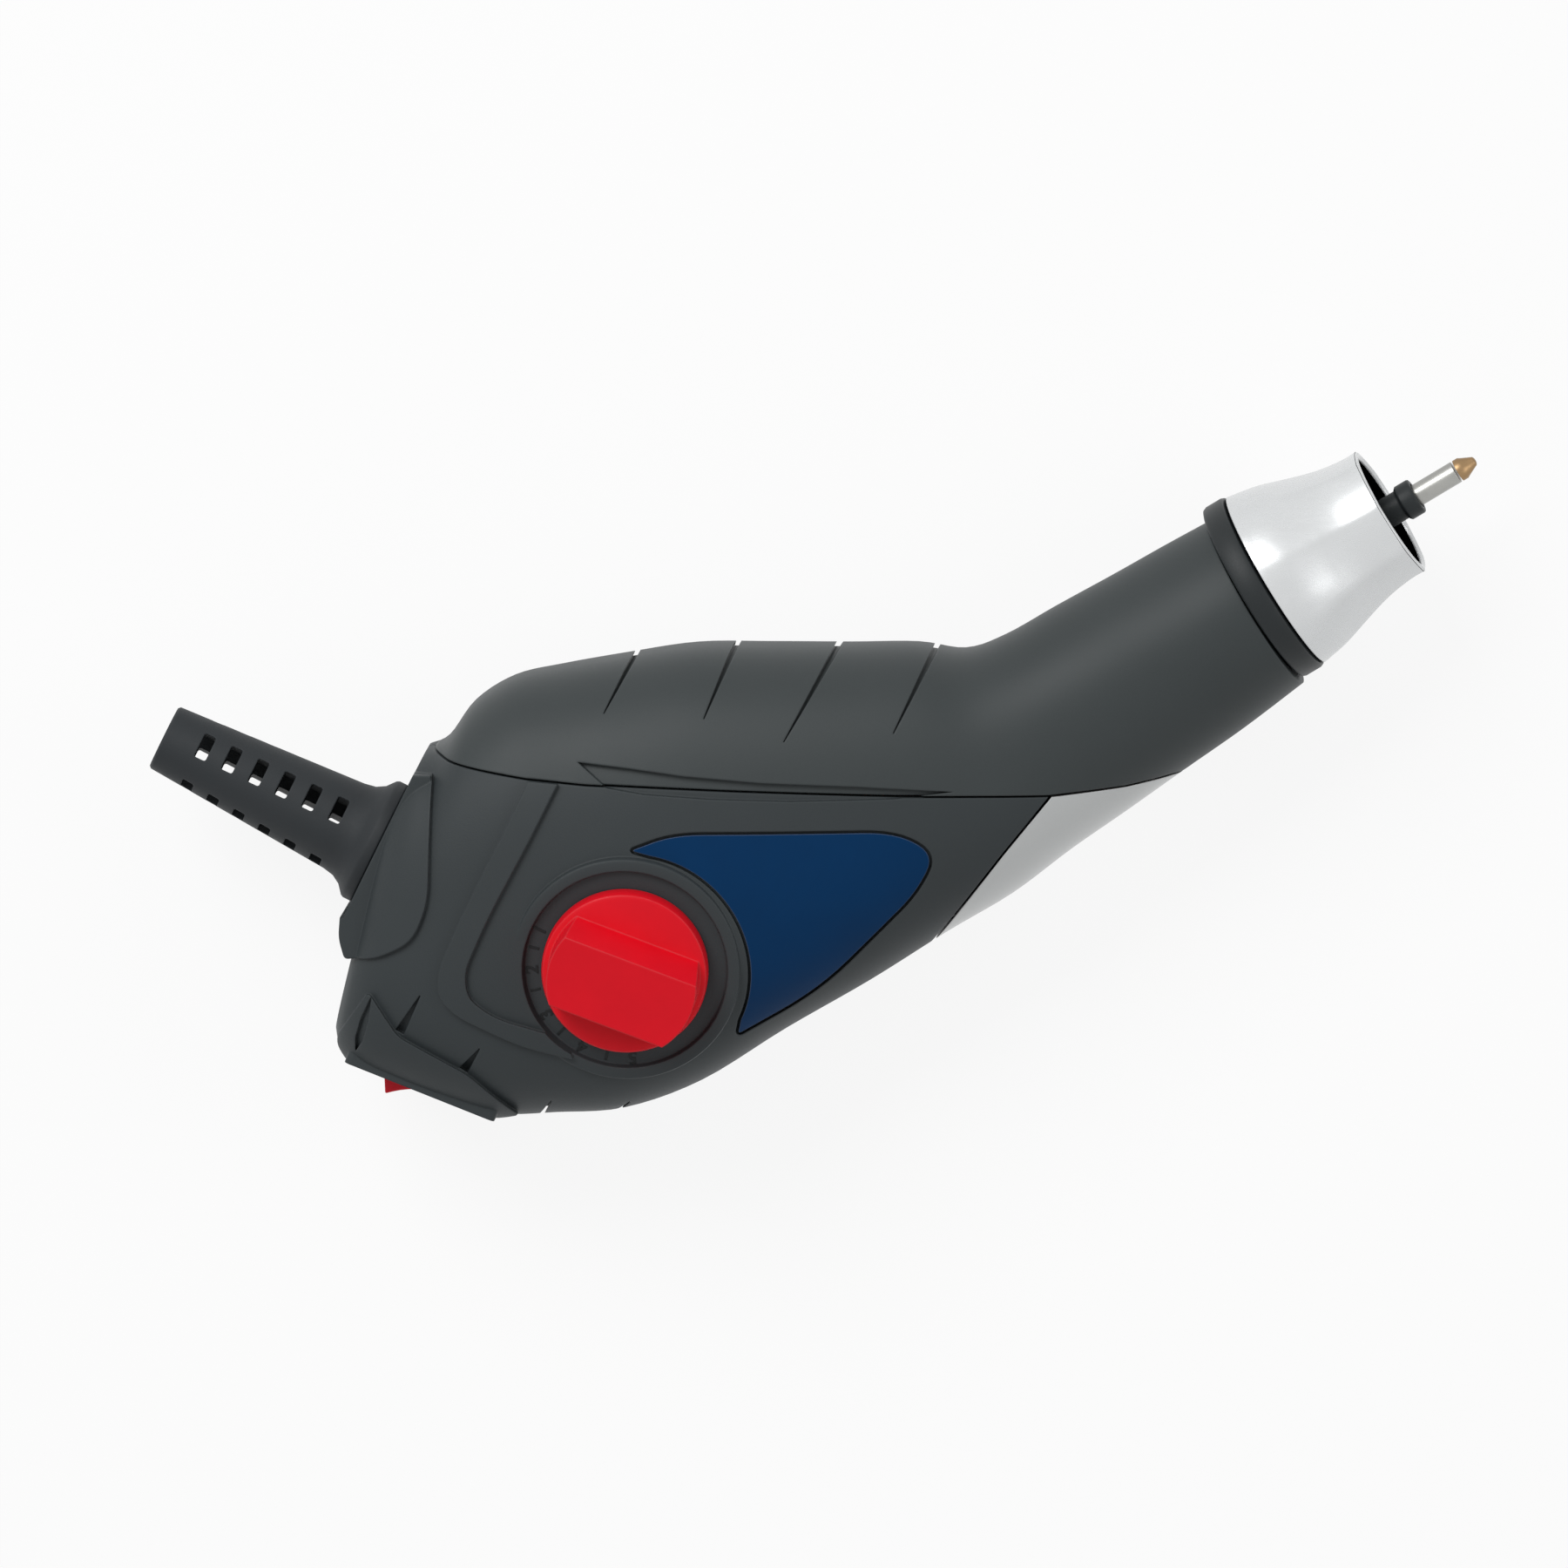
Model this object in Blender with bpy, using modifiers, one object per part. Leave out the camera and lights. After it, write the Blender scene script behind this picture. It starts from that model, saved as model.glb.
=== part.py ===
"""Electric engraving pen, built from separate pieces.

The pen lies on its far side with the stroke dial up. X runs towards the stylus, Y towards the grip side and
Z up, out of the near shell. Lengths are metres. Outlines are shares of REACH, the distance from the dial to
the end of the barrel, measured along the nose axis.
"""

import math

import bmesh
import bpy
from mathutils import Matrix, Vector

# Driving dimensions. Sizes given as a share of REACH keep the pen's proportions when it changes.
REACH = 0.100
HALF_WIDTH = 0.0195
REST_DEPTH = HALF_WIDTH - 0.0023
NOSE_ANGLE = math.radians(31.0)
CORD_ANGLE = math.radians(153.5)
SWITCH_ANGLE = math.radians(-21.9)
DIAL_LEAN = math.radians(8.5)

# Walls and clearances
WALL = 0.0022
SEAM = 0.0003
RUNNING_GAP = 0.00025
OVERRUN = 0.04 * REACH
TRIM_RISE = 0.0008
GROOVE_DEPTH = 0.0009
SOFT_EDGE = 0.0006
WELD = 0.00001

# Cord boot
BOOT_LENGTH = 0.0329
BOOT_FLANGE_RADIUS = 0.088 * REACH
BOOT_FLANGE_THICKNESS = 0.016 * REACH
BOOT_ROOT_RADIUS = 0.064 * REACH
BOOT_END_RADIUS = 0.0465 * REACH
BOOT_BORE_RADIUS = 0.036 * REACH
BOOT_NECK_RADIUS = 0.056 * REACH
BOOT_NECK_LENGTH = 0.036 * REACH
BOOT_HEEL_RADIUS = 0.076 * REACH
BOOT_HEEL_THICKNESS = 0.02 * REACH
BOOT_FLARE_LENGTH = 0.056 * REACH
BOOT_PLAIN_END = 0.049 * REACH
BOOT_SLOT_WIDTH = 0.017 * REACH
BOOT_SLOT_ROWS = 6
BOOT_SLOTS_ROUND = 4
BOOT_SLOT_ARC = math.radians(44.0)
BOOT_SLOT_TURN = math.radians(25.0)
SOCKET_HALF_WIDTH = 0.13 * REACH
SOCKET_ROUNDING = 0.028 * REACH

# Cord clamp
CLAMP_SETBACK = 0.124 * REACH
CLAMP_SPREAD = 0.062 * REACH
CLAMP_WIDTH = 0.056 * REACH
CLAMP_THICKNESS = 0.026 * REACH

# Screws
SCREW_RADIUS = 0.00145
SCREW_HEAD_RADIUS = 0.0027
SCREW_HEAD_HEIGHT = 0.0018
SCREW_BITE = 0.075 * REACH
BOSS_RADIUS = 0.042 * REACH
SMALL_SCREW_RADIUS = 0.0010
SMALL_HEAD_RADIUS = 0.0019
SMALL_HEAD_HEIGHT = 0.0012
SMALL_SCREW_BITE = 0.048 * REACH
POST_RADIUS = 0.024 * REACH

# Dial
DIAL_RADIUS = 0.113 * REACH
DIAL_RIM_HEIGHT = 0.027 * REACH
DIAL_GRIP_HEIGHT = 0.055 * REACH
DIAL_GRIP_WIDTH = 0.098 * REACH
DIAL_GRIP_SPREAD = 0.019 * REACH
DIAL_GRIP_RADIUS = 0.106 * REACH
DIAL_GRIP_OFFSET = 0.012 * REACH
DIAL_GRIP_TURN = math.radians(-21.5)
DIAL_HUB_RADIUS = 0.03 * REACH
DIAL_TRAVEL = math.radians(118.0)
PLATE_RADIUS = 0.156 * REACH
PLATE_LEVEL = HALF_WIDTH - 0.0009
PLATE_DEPTH = 0.1 * REACH
WELL_RADIUS = 0.14 * REACH
WELL_DEPTH = 0.009 * REACH
WASHER_THICKNESS = 0.008 * REACH
CAM_THICKNESS = 0.03 * REACH
CAM_RADIUS = 0.07 * REACH
CAM_RISE = 0.012 * REACH

# Rocker switch
SWITCH_LENGTH = 0.16 * REACH
SWITCH_WIDTH = 0.094 * REACH
SWITCH_DEPTH = 0.112 * REACH
SWITCH_WALL = 0.011 * REACH
BEZEL_MARGIN = 0.012 * REACH
BEZEL_THICKNESS = 0.012 * REACH
HOOD_HALF_WIDTH = 0.108 * REACH
ROCKER_HALF_LENGTH = 0.059 * REACH
ROCKER_RISE = 0.014 * REACH
ROCKER_DEPTH = 0.062 * REACH
ROCKER_PIVOT_DEPTH = 0.04 * REACH
ROCKER_PIN_RADIUS = 0.01 * REACH
ROCKER_TILT = math.radians(13.0)
TERMINAL_WIDTH = 0.048 * REACH
TERMINAL_THICKNESS = 0.008 * REACH
TERMINAL_LENGTH = 0.052 * REACH
LEAD_RADIUS = 0.008 * REACH

# Solenoid
YOKE_START = 0.292 * REACH
YOKE_LENGTH = 0.305 * REACH
YOKE_END_THICKNESS = 0.04 * REACH
YOKE_HALF_HEIGHT = 0.11 * REACH
YOKE_LIMB = 0.027 * REACH
YOKE_HALF_DEPTH = 0.06 * REACH
BOBBIN_BORE_RADIUS = 0.041 * REACH
BOBBIN_WALL = 0.011 * REACH
BOBBIN_FLANGE = 0.015 * REACH
BOBBIN_FLANGE_RADIUS = 0.08 * REACH
WINDING_RADIUS = 0.076 * REACH
PLUNGER_RADIUS = 0.037 * REACH
PLUNGER_SETBACK = 0.012 * REACH
PLUNGER_GAP = 0.0007
PLUNGER_LENGTH = YOKE_LENGTH - YOKE_END_THICKNESS + PLUNGER_SETBACK - PLUNGER_GAP
PLUNGER_SOCKET = 0.08 * REACH

# Nose
BARREL_BORE_RADIUS = 0.104 * REACH
BARREL_BORE_LENGTH = 0.14 * REACH
COLLAR_RADIUS = 0.133 * REACH
COLLAR_LENGTH = 0.032 * REACH
CAP_LENGTH = 0.183 * REACH
CAP_BASE_RADIUS = 0.13 * REACH
CAP_RIM_RADIUS = 0.095 * REACH
CAP_WALL = 0.012 * REACH
CAP_SLEEVE_LENGTH = 0.08 * REACH
CAP_SLEEVE_WALL = 0.012 * REACH
BUSH_LENGTH = 0.07 * REACH
BUSH_SETBACK = 0.03 * REACH
ROD_RADIUS = 0.016 * REACH
ROD_SEAT = 0.9 * REACH
HOLDER_RADIUS = 0.0255 * REACH
HOLDER_NECK_RADIUS = 0.021 * REACH
HOLDER_REAR = 0.86 * REACH
HOLDER_FRONT = 1.262 * REACH
HOLDER_HEAD_LENGTH = 0.024 * REACH
HOLDER_NECK_LENGTH = 0.03 * REACH
HOLDER_SOCKET = 0.12 * REACH
STYLUS_RADIUS = 0.0155 * REACH
STYLUS_REACH = 0.062 * REACH
TIP_LENGTH = 0.028 * REACH
TIP_ROUND_RADIUS = 0.0007
GRUB_RADIUS = 0.009 * REACH
GRUB_SETBACK = 0.07 * REACH
SEAT_RADIUS = 0.048 * REACH
SEAT_THICKNESS = 0.012 * REACH
SEAT_PLACE = 0.79 * REACH

# Springs
SPRING_WIRE = 0.006 * REACH
RETURN_SPRING_RADIUS = 0.04 * REACH
RETURN_SPRING_TURNS = 5
STROKE_SPRING_RADIUS = 0.027 * REACH
STROKE_SPRING_TURNS = 3

# Slider
SLIDER_REAR = 0.15 * REACH
SLIDER_LENGTH = 0.065 * REACH
SLIDER_HALF_WIDTH = 0.04 * REACH
SLIDER_HALF_DEPTH = 0.04 * REACH
SLIDER_ARM_LENGTH = 0.04 * REACH
SLIDER_ARM_HALF_WIDTH = 0.032 * REACH
SLIDER_NOSE_RADIUS = 0.016 * REACH
SLIDER_NOSE_LENGTH = 0.016 * REACH
CRADLE_WALL = 0.02 * REACH
CRADLE_DEPTH = 0.03 * REACH

# Label and accent panel
LABEL_THICKNESS = 0.0005
LABEL_GAP = 0.0004
ACCENT_WALL = 0.016 * REACH

# Outlines as shares of REACH. A station holds the x and y of the body's top line, the x and y of its bottom
# line, its half width as a share of HALF_WIDTH, and how square its section is.
STATION_SHARES = (
    (-0.303, 0.276, -0.395, -0.080, 0.52, 3.2),
    (-0.292, 0.292, -0.388, -0.106, 0.66, 3.0),
    (-0.270, 0.304, -0.360, -0.130, 0.78, 2.9),
    (-0.240, 0.318, -0.305, -0.152, 0.86, 2.8),
    (-0.203, 0.367, -0.238, -0.178, 0.92, 2.7),
    (-0.150, 0.400, -0.170, -0.196, 0.965, 2.7),
    (-0.086, 0.415, -0.095, -0.194, 0.985, 2.7),
    (0.005, 0.431, 0.000, -0.187, 1.0, 2.7),
    (0.100, 0.445, 0.105, -0.149, 0.99, 2.7),
    (0.200, 0.446, 0.220, -0.078, 0.965, 2.6),
    (0.310, 0.446, 0.335, -0.012, 0.915, 2.5),
    (0.400, 0.447, 0.440, 0.054, 0.85, 2.4),
    (0.465, 0.439, 0.530, 0.107, 0.785, 2.3),
    (0.520, 0.458, 0.610, 0.167, 0.73, 2.2),
    (0.590, 0.498, 0.685, 0.219, 0.69, 2.1),
    (0.670, 0.542, 0.765, 0.276, 0.665, 2.1),
    (0.735, 0.579, 0.845, 0.332, 0.65, 2.0),
    (0.797, 0.613, 0.926, 0.394, 0.64, 2.0),
)
PARTING_SHARES = (
    (-0.450, 0.330),
    (-0.270, 0.312),
    (-0.230, 0.303),
    (-0.180, 0.295),
    (-0.120, 0.286),
    (-0.040, 0.279),
    (0.145, 0.271),
    (0.380, 0.262),
    (0.586, 0.258),
    (0.689, 0.266),
    (0.750, 0.276),
    (0.900, 0.280),
)
PARTING_CORNER = 8
ACCENT_EDGE_SHARES = ((0.520, 0.174), (0.432, 0.060), (0.380, -0.008))
SOCKET_SHARES = (
    (-0.2835, 0.2832),
    (-0.3795, 0.0902),
    (-0.381, 0.062),
    (-0.374, 0.033),
    (-0.330, 0.036),
    (-0.285, 0.060),
    (-0.265, 0.105),
    (-0.262, 0.281),
)
HOOD_SHARES = (
    (-0.340, -0.010),
    (-0.394, -0.086),
    (-0.378, -0.115),
    (-0.175, -0.1965),
    (-0.140, -0.188),
    (-0.206, -0.125),
    (-0.300, -0.072),
)
LAND_SHARES = ((-0.378, -0.115), (-0.175, -0.1965))
BAND_SHARES = (
    (-0.150, 0.203),
    (-0.211, 0.094),
    (-0.242, 0.022),
    (-0.242, -0.016),
    (-0.218, -0.040),
    (-0.130, -0.082),
    (-0.060, -0.098),
    (-0.080, -0.066),
    (-0.166, -0.042),
    (-0.202, -0.014),
    (-0.206, 0.022),
    (-0.174, 0.094),
    (-0.113, 0.203),
    (-0.080, 0.245),
    (-0.125, 0.245),
)
LABEL_SHARES = ((0.030, 0.199), (0.395, 0.207), (0.420, 0.196), (0.425, 0.170), (0.165, -0.085))
LABEL_ARC_START = math.radians(78.0)
LABEL_ARC_END = math.radians(-34.0)
GRIP_GROOVE_SHARES = (
    ((0.020, 0.460), (-0.030, 0.370)),
    ((0.150, 0.465), (0.108, 0.365)),
    ((0.292, 0.465), (0.214, 0.330)),
    ((0.425, 0.465), (0.365, 0.340)),
)
TOE_GROOVE_SHARES = (
    ((-0.128, -0.215), (-0.095, -0.165)),
    ((-0.032, -0.210), (0.010, -0.170)),
)
GROOVE_WIDTH = 0.013 * REACH
DIAL_FOOT_SHARES = (0.013, 0.053)
BOOT_SEAT_SHARES = (-0.334, 0.1705)
# A boss holds its x and y, and how deep its screw's head lies as a share of HALF_WIDTH.
BOSS_SHARES = ((-0.240, 0.252, 0.58), (-0.070, -0.135, 0.55), (0.272, 0.026, 0.50), (0.110, 0.222, 0.84))
YOKE_POST_SHARES = ((0.312, 0.070), (0.312, -0.092))
YOKE_REST_SHARES = (0.480, -0.097)
CAP_PROFILE_SHARES = (
    (0.0, 0.0),
    (0.21, 0.16),
    (0.43, 0.50),
    (0.58, 0.74),
    (0.72, 0.91),
    (0.88, 1.01),
    (1.0, 1.0),
)

# Mesh finenesses
SECTION_POINTS = 30
INNER_POINTS = 20
RINGS_BETWEEN = 2
FINE_STEPS = 32
ROUND_STEPS = 20
SMALL_STEPS = 12

# Colours
BLACK = (0.052, 0.058, 0.061)
DARK_RUBBER = (0.020, 0.024, 0.027)
SILVER = (0.56, 0.56, 0.56)
RED = (0.72, 0.012, 0.020)
BLUE = (0.005, 0.042, 0.118)
STEEL = (0.48, 0.48, 0.47)
TIP_BROWN = (0.33, 0.24, 0.15)
COPPER = (0.45, 0.14, 0.04)
NATURAL = (0.70, 0.66, 0.55)
LIVE_BROWN = (0.12, 0.045, 0.02)
NEUTRAL_BLUE = (0.02, 0.08, 0.30)
LAMINATED = (0.16, 0.16, 0.17)
IRON = (0.30, 0.30, 0.31)


class Builder:
    """Holds the scene's collections, frames and materials while the pieces are made."""

    def __init__(self):
        for old in list(bpy.data.objects):
            bpy.data.objects.remove(old, do_unlink=True)
        scene = bpy.context.scene
        self.pieces = bpy.data.collections.new("engraving_pen")
        self.cutters = bpy.data.collections.new("cutters")
        scene.collection.children.link(self.pieces)
        scene.collection.children.link(self.cutters)
        self.materials = {}
        self.root = self.frame("pen_frame", None, Matrix.Identity(4))

    def frame(self, name, parent, matrix):
        empty = bpy.data.objects.new(name, None)
        self.pieces.objects.link(empty)
        empty.parent = parent
        empty.matrix_local = matrix
        return empty

    def material(self, name, colour, roughness, metallic=0.0):
        if name not in self.materials:
            made = bpy.data.materials.new(name)
            made.use_nodes = True
            shader = made.node_tree.nodes["Principled BSDF"]
            shader.inputs["Base Color"].default_value = (*colour, 1.0)
            shader.inputs["Roughness"].default_value = roughness
            shader.inputs["Metallic"].default_value = metallic
            self.materials[name] = made
        return self.materials[name]

    def piece(self, name, mesh, parent, material):
        obj = bpy.data.objects.new(name, mesh)
        self.pieces.objects.link(obj)
        obj.parent = parent
        mesh.materials.append(material)
        return obj

    def cutter(self, name, mesh, parent):
        obj = bpy.data.objects.new(name, mesh)
        self.cutters.objects.link(obj)
        obj.parent = parent
        obj.hide_render = True
        obj.display_type = "WIRE"
        return obj


def place(x_share, y_share, z=0.0):
    return Vector((x_share * REACH, y_share * REACH, z))


def moved(x=0.0, y=0.0, z=0.0):
    return Matrix.Translation((x, y, z))


def along_x():
    """Turns local Z to point along X."""
    return Matrix.Rotation(math.radians(90.0), 4, "Y")


def along_y():
    """Turns local Z to point along Y."""
    return Matrix.Rotation(math.radians(-90.0), 4, "X")


def upside_down():
    return Matrix.Rotation(math.pi, 4, "X")


def mesh_of(bm, name):
    bmesh.ops.recalc_face_normals(bm, faces=bm.faces)
    mesh = bpy.data.meshes.new(name)
    bm.to_mesh(mesh)
    bm.free()
    return mesh


def smooth(obj, angle=math.radians(35.0)):
    obj.data.shade_smooth()
    obj.data.set_sharp_from_angle(angle=angle)
    return obj


def boolean(obj, other, operation="DIFFERENCE"):
    modifier = obj.modifiers.new(other.name, "BOOLEAN")
    modifier.operation = operation
    modifier.object = other
    return obj


def bevel(obj, width, segments=1, angle=math.radians(40.0)):
    modifier = obj.modifiers.new("edges", "BEVEL")
    modifier.width = width
    modifier.segments = segments
    modifier.limit_method = "ANGLE"
    modifier.angle_limit = angle
    return obj


def add_box(bm, low, high, matrix=Matrix.Identity(4)):
    size = [high[i] - low[i] for i in range(3)]
    middle = [(high[i] + low[i]) / 2 for i in range(3)]
    shape = matrix @ Matrix.Translation(middle) @ Matrix.Diagonal((*size, 1.0))
    bmesh.ops.create_cube(bm, size=1.0, matrix=shape)


def add_cylinder(bm, radius, low, high, matrix=Matrix.Identity(4), steps=ROUND_STEPS):
    shape = matrix @ Matrix.Translation((0.0, 0.0, (low + high) / 2))
    bmesh.ops.create_cone(
        bm, cap_ends=True, segments=steps, radius1=radius, radius2=radius, depth=high - low, matrix=shape
    )


def box_mesh(name, low, high):
    bm = bmesh.new()
    add_box(bm, low, high)
    return mesh_of(bm, name)


def turned(build, name, profile, parent, matrix, material, steps=ROUND_STEPS, closed=False):
    """A turned piece. The profile holds (radius, height) pairs and runs down its outer side."""
    bm = bmesh.new()
    points = [bm.verts.new((radius, 0.0, height)) for radius, height in profile]
    for start, end in zip(points, points[1:]):
        bm.edges.new((start, end))
    if closed:
        bm.edges.new((points[-1], points[0]))
    mesh = bpy.data.meshes.new(name)
    bm.to_mesh(mesh)
    bm.free()
    if material is None:
        obj = build.cutter(name, mesh, parent)
    else:
        obj = build.piece(name, mesh, parent, material)
    obj.matrix_local = matrix
    screw = obj.modifiers.new("turn", "SCREW")
    screw.axis = "Z"
    screw.angle = math.tau
    screw.steps = steps
    screw.render_steps = steps
    screw.use_merge_vertices = True
    screw.merge_threshold = WELD
    screw.use_smooth_shade = False
    return obj


def plate_mesh(name, outline, low, high):
    """The mesh of a flat outline that is as thick as the step from low to high."""
    curve = bpy.data.curves.new(name, "CURVE")
    curve.dimensions = "2D"
    curve.fill_mode = "BOTH"
    curve.extrude = (high - low) / 2
    spline = curve.splines.new("POLY")
    spline.points.add(len(outline) - 1)
    for point, (x, y) in zip(spline.points, outline):
        point.co = (x, y, 0.0, 1.0)
    spline.use_cyclic_u = True
    return baked_curve(curve, name, moved(z=(high + low) / 2))


def baked_curve(curve, name, matrix=Matrix.Identity(4)):
    """A curve's own mesh, with its caps welded."""
    helper = bpy.data.objects.new(name + "_curve", curve)
    bpy.context.scene.collection.objects.link(helper)
    graph = bpy.context.evaluated_depsgraph_get()
    mesh = bpy.data.meshes.new_from_object(helper.evaluated_get(graph))
    bpy.data.objects.remove(helper, do_unlink=True)
    bm = bmesh.new()
    bm.from_mesh(mesh)
    bmesh.ops.remove_doubles(bm, verts=bm.verts, dist=WELD)
    bmesh.ops.recalc_face_normals(bm, faces=bm.faces)
    bmesh.ops.transform(bm, matrix=matrix, verts=bm.verts)
    bm.to_mesh(mesh)
    bm.free()
    mesh.name = name
    return mesh


def wire_curve(name, points, radius, resolution):
    curve = bpy.data.curves.new(name, "CURVE")
    curve.dimensions = "3D"
    curve.bevel_depth = radius
    curve.bevel_resolution = resolution
    curve.use_fill_caps = True
    spline = curve.splines.new("POLY")
    spline.points.add(len(points) - 1)
    for point, co in zip(spline.points, points):
        point.co = (*co, 1.0)
    return curve


def blend(before, start, end, after, share):
    """The value at a share of the way from start to end on a smooth curve through all four."""
    square, cube = share * share, share * share * share
    return 0.5 * (
        2 * start
        + (end - before) * share
        + (2 * before - 5 * start + 4 * end - after) * square
        + (3 * start - before - 3 * end + after) * cube
    )


def stations():
    """The stations with more set between them."""
    rows = STATION_SHARES
    last = len(rows) - 1
    found = []
    for i in range(last):
        around = [rows[max(0, i - 1)], rows[i], rows[i + 1], rows[min(last, i + 2)]]
        for step in range(RINGS_BETWEEN):
            share = step / RINGS_BETWEEN
            found.append(tuple(blend(*values, share) for values in zip(*around)))
    found.append(rows[last])
    return found


def section(station, growth, setback, count):
    """One ring of the body. Growth moves it out of its own surface, and setback moves it along the body."""
    top = place(station[0], station[1])
    bottom = place(station[2], station[3])
    up = (top - bottom).normalized()
    forward = Vector((up.y, -up.x, 0.0))
    middle = (top + bottom) / 2 + forward * setback
    half_height = (top - bottom).length / 2 + growth
    half_width = station[4] * HALF_WIDTH + growth
    power = 2.0 / station[5]
    ring = []
    for k in range(count):
        angle = math.tau * k / count
        c, s = math.cos(angle), math.sin(angle)
        rise = half_height * math.copysign(abs(c) ** power, c)
        side = half_width * math.copysign(abs(s) ** power, s)
        ring.append(middle + up * rise + Vector((0.0, 0.0, side)))
    return ring


def body_mesh(name, growth=0.0, count=SECTION_POINTS, past_barrel=0.0):
    """The lofted body, grown out of its surface or, with a negative growth, into it."""
    rows = stations()
    rings = []
    for i, station in enumerate(rows):
        setback = 0.0
        if i == 0:
            setback = -growth
        if i == len(rows) - 1:
            setback = growth + past_barrel
        rings.append(section(station, growth, setback, count))
    bm = bmesh.new()
    loops = [[bm.verts.new(point) for point in ring] for ring in rings]
    for low, high in zip(loops, loops[1:]):
        for k in range(count):
            after = (k + 1) % count
            bm.faces.new((low[k], low[after], high[after], high[k]))
    bm.faces.new(loops[0])
    bm.faces.new(loops[-1])
    return mesh_of(bm, name)


def outline_points(shares, drop=0.0):
    return [(x * REACH, y * REACH - drop) for x, y in shares]


def arc(centre, radius, start, end, steps):
    return [
        (
            centre[0] + radius * math.cos(start + (end - start) * i / steps),
            centre[1] + radius * math.sin(start + (end - start) * i / steps),
        )
        for i in range(steps + 1)
    ]


def grown(outline, margin):
    """The outline with each side moved out by margin. It runs clockwise."""
    corners = [Vector(point) for point in outline]
    count = len(corners)
    found = []
    for i, corner in enumerate(corners):
        before = (corner - corners[i - 1]).normalized()
        after = (corners[(i + 1) % count] - corner).normalized()
        outward = Vector((-before.y, before.x)) + Vector((-after.y, after.x))
        found.append(tuple(corner + outward * (margin / (1 + before.dot(after)))))
    return found


def sliver(start, end, width):
    """A narrow outline that tapers from start, where it is as wide as width, to end."""
    a, b = Vector(start), Vector(end)
    side = Vector((a.y - b.y, b.x - a.x)).normalized() * (width / 2)
    outer = a + (a - b).normalized() * OVERRUN
    return [tuple(outer + side), tuple(outer - side), tuple(b - side * 0.3), tuple(b + side * 0.3)]


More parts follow.
